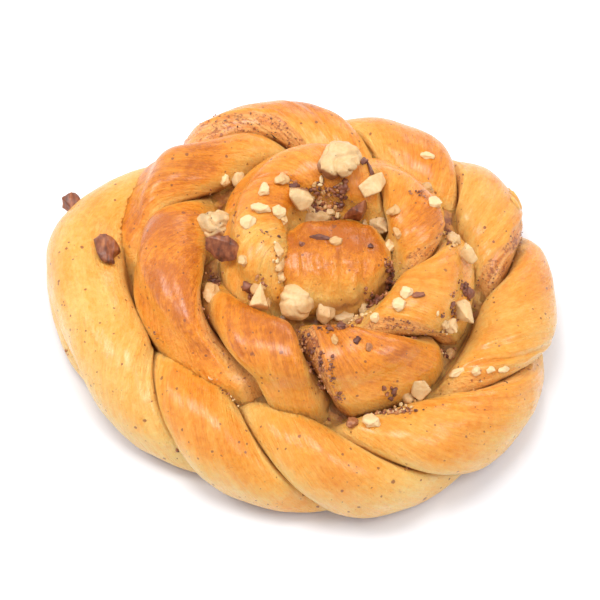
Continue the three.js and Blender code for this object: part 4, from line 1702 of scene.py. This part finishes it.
@dataclass(frozen=True)
class CrustFinish:
    """Egg-washed, baked dough: pale in its folds, orange on top, with flecks of filling, and painted shade in
    its hollows and crevices.
    """

    pale: Colour = (0.94, 0.63, 0.20)
    light: Colour = (0.94, 0.52, 0.12)
    golden: Colour = (0.93, 0.40, 0.05)
    orange: Colour = (0.87, 0.28, 0.012)
    brown: Colour = (0.60, 0.15, 0.003)
    fleck: Colour = (0.32, 0.085, 0.022)
    cut: Colour = (0.90, 0.47, 0.16)
    cut_red: Colour = (0.74, 0.24, 0.06)
    grain: Colour = (0.34, 0.085, 0.03)
    # the valleys' dark line: brown filling, and painted shade in the crack
    filling: Colour = (0.26, 0.075, 0.025)
    # painted shade: the deeper orange that the crust shows where little light reaches it
    shade: Colour = (0.86, 0.36, 0.055)
    # painted shade: dark brown for crevices and hollows that see little sky
    painted_crevice_shade: Colour = (0.40, 0.13, 0.022)
    roughness: tuple[float, float] = (0.30, 0.50)
    glaze: tuple[float, float] = (0.08, 0.95)

    def build(self, finishes: Finishes) -> bpy.types.Material:
        """The material."""
        material, sketch, shader = new_material("baked_crust")
        place = sketch.add("TexCoord").outputs["Object"]
        strand = sketch.attribute("strand", "Vector")
        bake = self.bake(sketch, finishes, place, strand)
        colour = sketch.ramp(bake, ((0.0, self.pale), (0.25, self.light), (0.50, self.golden),
                                    (0.75, self.orange), (1.0, self.brown)))
        band = sketch.attribute("band")
        grime = self.grime(sketch, place, band)
        edge = sketch.math("MULTIPLY", band, 3.0, clamp=True)
        streak = sketch.noise(sketch.scale(strand, (1.6, 0.16, 1.0)), 1.0, 3.0)
        cut = sketch.mix(sketch.range(streak, 0.42, 0.62), (*self.cut, 1), (*self.cut_red, 1))
        shown = sketch.math("MULTIPLY", edge, sketch.range(band, 0.0, 0.8, 0.15, 0.75))
        colour = sketch.mix(shown, colour, cut)
        colour = sketch.mix(sketch.math("MULTIPLY", grime, 0.8), colour, (*self.grain, 1))
        flecks = self.flecks(sketch, finishes, place)
        colour = sketch.mix(sketch.math("MULTIPLY", flecks, 0.85), colour, (*self.fleck, 1))
        # The valleys' dark line: brown filling, and painted shade in the narrow crack between the strands.
        colour = sketch.mix(self.filling_and_shade_lines(sketch, place), colour, (*self.filling, 1))
        # Painted shade: a deeper orange mixed in where the skin sees less of the sky.
        shade = sketch.range(sketch.attribute("open"), 0.12, 0.50, 0.45, 0.0)
        colour = sketch.mix(shade, colour, (*self.shade, 1))
        # Painted shade: dark brown mixed in where the skin sees little of the sky, in crevices and hollows.
        deep = sketch.range(sketch.attribute("open"), 0.04, 0.20, 0.95, 0.0)
        colour = sketch.mix(deep, colour, (*self.painted_crevice_shade, 1))
        sketch.tree.links.new(colour, shader.inputs["Base Color"])
        self.gloss(sketch, shader, place, strand, edge)
        shader.inputs["Specular IOR Level"].default_value = 0.42
        shader.inputs["Coat Roughness"].default_value = 0.24
        shader.inputs["Subsurface Weight"].default_value = 0.15
        shader.inputs["Subsurface Radius"].default_value = (1.0, 0.45, 0.15)
        shader.inputs["Subsurface Scale"].default_value = 0.002
        return material

    def bake(self, sketch: Sketch, finishes: Finishes, place: Any, strand: Any) -> bpy.types.NodeSocket:
        """How brown the crust is, from 0 to 1."""
        tone = sketch.attribute("tone")
        openness = sketch.range(sketch.attribute("open"), 0.12, 0.78, 0.0, 1.08)
        mottle = finishes.place(sketch, finishes.mottling,
                                {"Vector": place, "Coarse": 60.0, "Fine": 650.0}, "Value")
        mottle = sketch.range(mottle, 0.3, 0.7, -0.24, 0.24)
        streak = sketch.noise(sketch.scale(strand, (0.55, 0.03, 1.0)), 1.0, 5.0, 0.65)
        streak = sketch.range(streak, 0.3, 0.7, -0.13, 0.13)
        near = sketch.range(sketch.attribute("valley"), 0.3, 5.0, -0.16, 0.0)
        fine = sketch.noise(sketch.scale(strand, (2.6, 0.5, 1.0)), 1.0, 3.0, 0.6)
        fine = sketch.range(fine, 0.3, 0.7, -0.10, 0.10)
        total = sketch.math("MULTIPLY", tone, openness)
        for part in (mottle, streak, near, fine):
            total = sketch.math("ADD", total, part)
        return total

    def grime(self, sketch: Sketch, place: Any, band: Any) -> bpy.types.NodeSocket:
        """Grains of filling on the cut edges."""
        grains = sketch.noise(place, 1500.0, 4.0, 0.7)
        clumps = sketch.noise(place, 320.0, 2.0)
        both = sketch.math("ADD", sketch.math("MULTIPLY", grains, 0.6), sketch.math("MULTIPLY", clumps, 0.4))
        limit = sketch.range(band, 0.05, 1.0, 0.62, 0.465)
        return sketch.range(sketch.math("SUBTRACT", both, limit), 0.0, 0.09)

    def flecks(self, sketch: Sketch, finishes: Finishes, place: Any) -> bpy.types.NodeSocket:
        """Sparse brown flecks all over the crust."""
        large = finishes.place(sketch, finishes.specks,
                               {"Vector": place, "Scale": 230.0, "Size": 0.13, "Share": 0.42}, "Mask")
        small = finishes.place(sketch, finishes.specks,
                               {"Vector": place, "Scale": 520.0, "Size": 0.18, "Share": 0.5}, "Mask")
        return sketch.math("MAXIMUM", large, small)

    def filling_and_shade_lines(self, sketch: Sketch, place: Any) -> bpy.types.NodeSocket:
        """The dark line in the valleys' bottoms, broken up: brown filling, and painted shade in the narrow
        crack.
        """
        broken = sketch.range(sketch.noise(place, 240.0, 4.0), 0.32, 0.55, 0.25, 0.95)
        return sketch.math("MULTIPLY", sketch.attribute("line"), broken, clamp=True)

    def gloss(self, sketch: Sketch, shader: bpy.types.Node, place: Any, strand: Any, edge: Any) -> None:
        """Roughness and fine relief."""
        patches = sketch.noise(place, 130.0, 3.0)
        fine = sketch.noise(sketch.scale(strand, (1.9, 0.22, 1.0)), 1.0, 4.0, 0.7)
        glaze = sketch.math("ADD", sketch.math("MULTIPLY", fine, 0.55),
                            sketch.math("MULTIPLY", patches, 0.45))
        sketch.tree.links.new(sketch.range(glaze, 0.40, 0.60, *self.glaze), shader.inputs["Coat Weight"])
        rough = sketch.range(patches, 0.3, 0.7, *self.roughness)
        rough = sketch.math("ADD", rough, sketch.math("MULTIPLY", edge, 0.22), clamp=True)
        sketch.tree.links.new(rough, shader.inputs["Roughness"])
        wrinkles = sketch.noise(sketch.scale(strand, (1.1, 0.10, 1.0)), 1.0, 5.0, 0.7)
        ripples = sketch.noise(sketch.scale(strand, (0.9, 1.7, 1.0)), 1.0, 2.0, 0.5)
        pores = sketch.noise(place, 900.0, 4.0, 0.7)
        height = sketch.math("ADD", sketch.math("MULTIPLY", wrinkles, 0.5),
                             sketch.math("MULTIPLY", pores, 0.3))
        height = sketch.math("ADD", height, sketch.math("MULTIPLY", ripples, 0.12))
        height = sketch.math("ADD", height, sketch.math("MULTIPLY", fine, 0.16))
        bump = sketch.add("Bump", {"Strength": 0.9, "Distance": 0.0019, "Height": height})
        sketch.tree.links.new(bump.outputs["Normal"], shader.inputs["Normal"])


@dataclass(frozen=True)
class KernelFinish:
    """Ivory nut, with dark specks, a little grey and patches of brown rind."""

    ivory: Colour = (0.80, 0.56, 0.28)
    tan: Colour = (0.73, 0.46, 0.20)
    grey: Colour = (0.44, 0.30, 0.14)
    rind: Colour = (0.30, 0.11, 0.035)
    speck: Colour = (0.15, 0.06, 0.035)

    def build(self, finishes: Finishes) -> bpy.types.Material:
        """The material."""
        material, sketch, shader = new_material("nut_kernel")
        place = sketch.add("TexCoord").outputs["Object"]
        mottle = finishes.place(sketch, finishes.mottling,
                                {"Vector": place, "Coarse": 330.0, "Fine": 1500.0}, "Value")
        colour = sketch.mix(sketch.range(mottle, 0.40, 0.62), (*self.ivory, 1), (*self.tan, 1))
        patches = sketch.range(sketch.noise(place, 420.0, 3.0), 0.4, 0.62)
        grey = sketch.math("MULTIPLY", sketch.attribute("grey"), patches, clamp=True)
        colour = sketch.mix(grey, colour, (*self.grey, 1))
        specks = finishes.place(sketch, finishes.specks,
                                {"Vector": place, "Scale": 900.0, "Size": 0.22, "Share": 0.35}, "Mask")
        specks = sketch.math("MULTIPLY", specks, sketch.range(sketch.attribute("grey"), 0.0, 0.5, 0.0, 0.9))
        colour = sketch.mix(specks, colour, (*self.speck, 1))
        colour = sketch.mix(sketch.attribute("rind"), colour, (*self.rind, 1))
        sketch.tree.links.new(colour, shader.inputs["Base Color"])
        sketch.tree.links.new(sketch.range(mottle, 0.3, 0.7, 0.35, 0.55), shader.inputs["Roughness"])
        bump = sketch.add("Bump", {"Strength": 0.5, "Distance": 0.0004,
                                   "Height": sketch.noise(place, 1300.0, 3.0)})
        sketch.tree.links.new(bump.outputs["Normal"], shader.inputs["Normal"])
        shader.inputs["Subsurface Weight"].default_value = 0.15
        shader.inputs["Subsurface Radius"].default_value = (1.0, 0.7, 0.4)
        shader.inputs["Subsurface Scale"].default_value = 0.0012
        return material


@dataclass(frozen=True)
class SkinFinish:
    """Reddish-brown nut skin with a long grain."""

    light: Colour = (0.44, 0.16, 0.06)
    middle: Colour = (0.25, 0.072, 0.026)
    dark: Colour = (0.09, 0.027, 0.014)

    def build(self, finishes: Finishes) -> bpy.types.Material:
        """The material."""
        material, sketch, shader = new_material("nut_skin")
        place = sketch.add("TexCoord").outputs["Object"]
        grain = sketch.noise(sketch.scale(place, (1.0, 0.28, 0.4)), 900.0, 3.0)
        mottle = finishes.place(sketch, finishes.mottling,
                                {"Vector": place, "Coarse": 260.0, "Fine": 1100.0}, "Value")
        both = sketch.math("ADD", sketch.math("MULTIPLY", grain, 0.55), sketch.math("MULTIPLY", mottle, 0.45))
        colour = sketch.ramp(both, ((0.36, self.dark), (0.50, self.middle), (0.64, self.light)))
        sketch.tree.links.new(colour, shader.inputs["Base Color"])
        sketch.tree.links.new(sketch.range(mottle, 0.3, 0.7, 0.28, 0.5), shader.inputs["Roughness"])
        bump = sketch.add("Bump", {"Strength": 0.6, "Distance": 0.0004, "Height": both})
        sketch.tree.links.new(bump.outputs["Normal"], shader.inputs["Normal"])
        return material


@dataclass(frozen=True)
class CrumbFinish:
    """Chopped nut: ivory to tan, a little translucent."""

    ivory: Colour = (0.84, 0.60, 0.31)
    tan: Colour = (0.64, 0.36, 0.13)
    rind: Colour = (0.36, 0.15, 0.05)

    def build(self, finishes: Finishes) -> bpy.types.Material:
        """The material."""
        material, sketch, shader = new_material("nut_crumbs")
        place = sketch.add("TexCoord").outputs["Object"]
        mottle = finishes.place(sketch, finishes.mottling,
                                {"Vector": place, "Coarse": 500.0, "Fine": 1700.0}, "Value")
        shade = sketch.attribute("shade")
        total = sketch.math("ADD", sketch.range(mottle, 0.3, 0.7, -0.2, 0.2), shade)
        colour = sketch.ramp(total, ((0.0, self.ivory), (0.35, self.ivory), (0.9, self.tan)))
        specks = sketch.range(sketch.noise(place, 700.0, 2.0), 0.64, 0.70)
        colour = sketch.mix(sketch.math("MULTIPLY", specks, shade), colour, (*self.rind, 1))
        sketch.tree.links.new(colour, shader.inputs["Base Color"])
        sketch.tree.links.new(sketch.range(mottle, 0.3, 0.7, 0.32, 0.5), shader.inputs["Roughness"])
        bump = sketch.add("Bump", {"Strength": 0.4, "Distance": 0.0003, "Height": mottle})
        sketch.tree.links.new(bump.outputs["Normal"], shader.inputs["Normal"])
        shader.inputs["Subsurface Weight"].default_value = 0.2
        shader.inputs["Subsurface Radius"].default_value = (1.0, 0.7, 0.4)
        shader.inputs["Subsurface Scale"].default_value = 0.0012
        return material


@dataclass(frozen=True)
class FillingFinish:
    """Grains of filling: purple-brown to reddish, glossy with sugar."""

    dark: Colour = (0.12, 0.038, 0.024)
    brown: Colour = (0.30, 0.10, 0.045)
    red: Colour = (0.60, 0.27, 0.10)

    def build(self, finishes: Finishes) -> bpy.types.Material:
        """The material."""
        material, sketch, shader = new_material("filling_grains")
        place = sketch.add("TexCoord").outputs["Object"]
        mottle = finishes.place(sketch, finishes.mottling,
                                {"Vector": place, "Coarse": 800.0, "Fine": 2200.0}, "Value")
        total = sketch.math("ADD", sketch.range(mottle, 0.3, 0.7, -0.2, 0.2), sketch.attribute("shade"))
        colour = sketch.ramp(total, ((0.05, self.dark), (0.45, self.brown), (1.0, self.red)))
        sketch.tree.links.new(colour, shader.inputs["Base Color"])
        sketch.tree.links.new(sketch.range(mottle, 0.3, 0.7, 0.3, 0.55), shader.inputs["Roughness"])
        bump = sketch.add("Bump", {"Strength": 0.5, "Distance": 0.0003, "Height": mottle})
        sketch.tree.links.new(bump.outputs["Normal"], shader.inputs["Normal"])
        return material


@dataclass
class Studio:
    """White floor, soft lights and the photograph's camera."""

    floor_size: float = 4.0
    floor_white: float = 0.93
    floor_tint: Colour = (0.97, 0.995, 1.04)
    sky: float = 0.61
    sky_tint: Colour = (1.0, 0.985, 1.02)

    def camera(self) -> None:
        """Puts the camera where the photograph was taken from."""
        place = photo_axes()[0]
        tilt = math.radians(90.0) - math.radians(CAMERA_ELEVATION)
        bpy.ops.object.camera_add(location=tuple(place * MM), rotation=(tilt, 0.0, 0.0))
        camera = bpy.context.object
        camera.name = "camera"
        camera.data.angle = 2 * math.atan(PHOTO_MIDDLE * MM_PER_PIXEL / CAMERA_DISTANCE)
        camera.data.clip_start = 0.01
        bpy.context.scene.camera = camera

    def light(self, name: str, place: tuple[float, float, float], size: float, watts: float,
              colour: Colour) -> None:
        """One soft square light, aimed at the brioche."""
        bpy.ops.object.light_add(type="AREA", location=place)
        light = bpy.context.object
        light.name = name
        light.rotation_euler = (-Vector(place)).to_track_quat("-Z", "Y").to_euler()
        light.data.size = size
        light.data.energy = watts
        light.data.color = colour

    def floor(self) -> None:
        """A plain white floor."""
        deselect()
        bpy.ops.mesh.primitive_plane_add(size=self.floor_size)
        floor = rename(bpy.context.object, "floor")
        material, sketch, shader = new_material("white_floor")
        place = sketch.add("TexCoord").outputs["Object"]
        shade = sketch.range(sketch.noise(place, 3.0), 0.3, 0.7, self.floor_white - 0.01, self.floor_white)
        tinted = [sketch.math("MULTIPLY", shade, tint) for tint in self.floor_tint]
        colour = sketch.add("CombineColor", dict(enumerate(tinted))).outputs[0]
        sketch.tree.links.new(colour, shader.inputs["Base Color"])
        shader.inputs["Roughness"].default_value = 0.9
        shader.inputs["Specular IOR Level"].default_value = 0.1
        floor.data.materials.append(material)

    def build(self) -> None:
        """Sets up everything but the brioche."""
        self.camera()
        scene = bpy.context.scene
        scene.view_settings.view_transform = "Standard"
        world = bpy.data.worlds.new("studio")
        world.use_nodes = True
        world.node_tree.nodes["Background"].inputs["Color"].default_value = (*self.sky_tint, 1.0)
        world.node_tree.nodes["Background"].inputs["Strength"].default_value = self.sky
        scene.world = world
        self.light("softbox_top", (-0.14, 0.10, 1.0), 0.36, 4.2, (1.0, 0.995, 0.99))
        self.light("softbox_left", (-0.62, 0.12, 0.72), 0.34, 2.8, (1.0, 1.0, 1.0))
        self.light("softbox_right", (0.42, -0.22, 0.90), 0.46, 3.0, (1.0, 0.995, 0.99))
        self.light("softbox_back", (0.30, 0.95, 0.50), 0.5, 1.8, (1.0, 0.99, 0.98))
        self.floor()


def dress(obj: bpy.types.Object, material: bpy.types.Material, slot: Slot, nodes: Sequence[str]) -> None:
    """Gives a finished piece its material and body, and hides the nodes it stands for."""
    obj.data.materials.clear()
    obj.data.materials.append(material)
    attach(obj, BODY)
    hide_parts(*nodes)
    faces = sum(len(polygon.vertices) - 2 for polygon in obj.data.polygons)
    LOG.info("%s: %d triangles", obj.name, faces)


def main() -> None:
    """Builds the studio and every piece of the brioche."""
    Studio().build()
    finishes = Finishes()
    crust = CrustFinish().build(finishes)
    dough = Dough().build()
    dress(dough, crust, Slot.DOUGH, ["dough"])
    kernel, skin = KernelFinish().build(finishes), SkinFinish().build(finishes)
    for piece in NUT_PIECES:
        obj = piece.build()
        dress(obj, skin if piece.skin else kernel, Slot.SKIN if piece.skin else Slot.KERNEL, [piece.node])
    toppings = Toppings(dough)
    dress(toppings.ivory(), CrumbFinish().build(finishes), Slot.KERNEL, ["dough"])
    filling = FillingFinish().build(finishes)
    dress(toppings.filling(), filling, Slot.SKIN, ["dough"])
    dress(toppings.lumps(), filling, Slot.SKIN, ["dough"])
    dress(toppings.paste(), filling, Slot.SKIN, ["dough"])


if __name__ == "__main__":
    main()
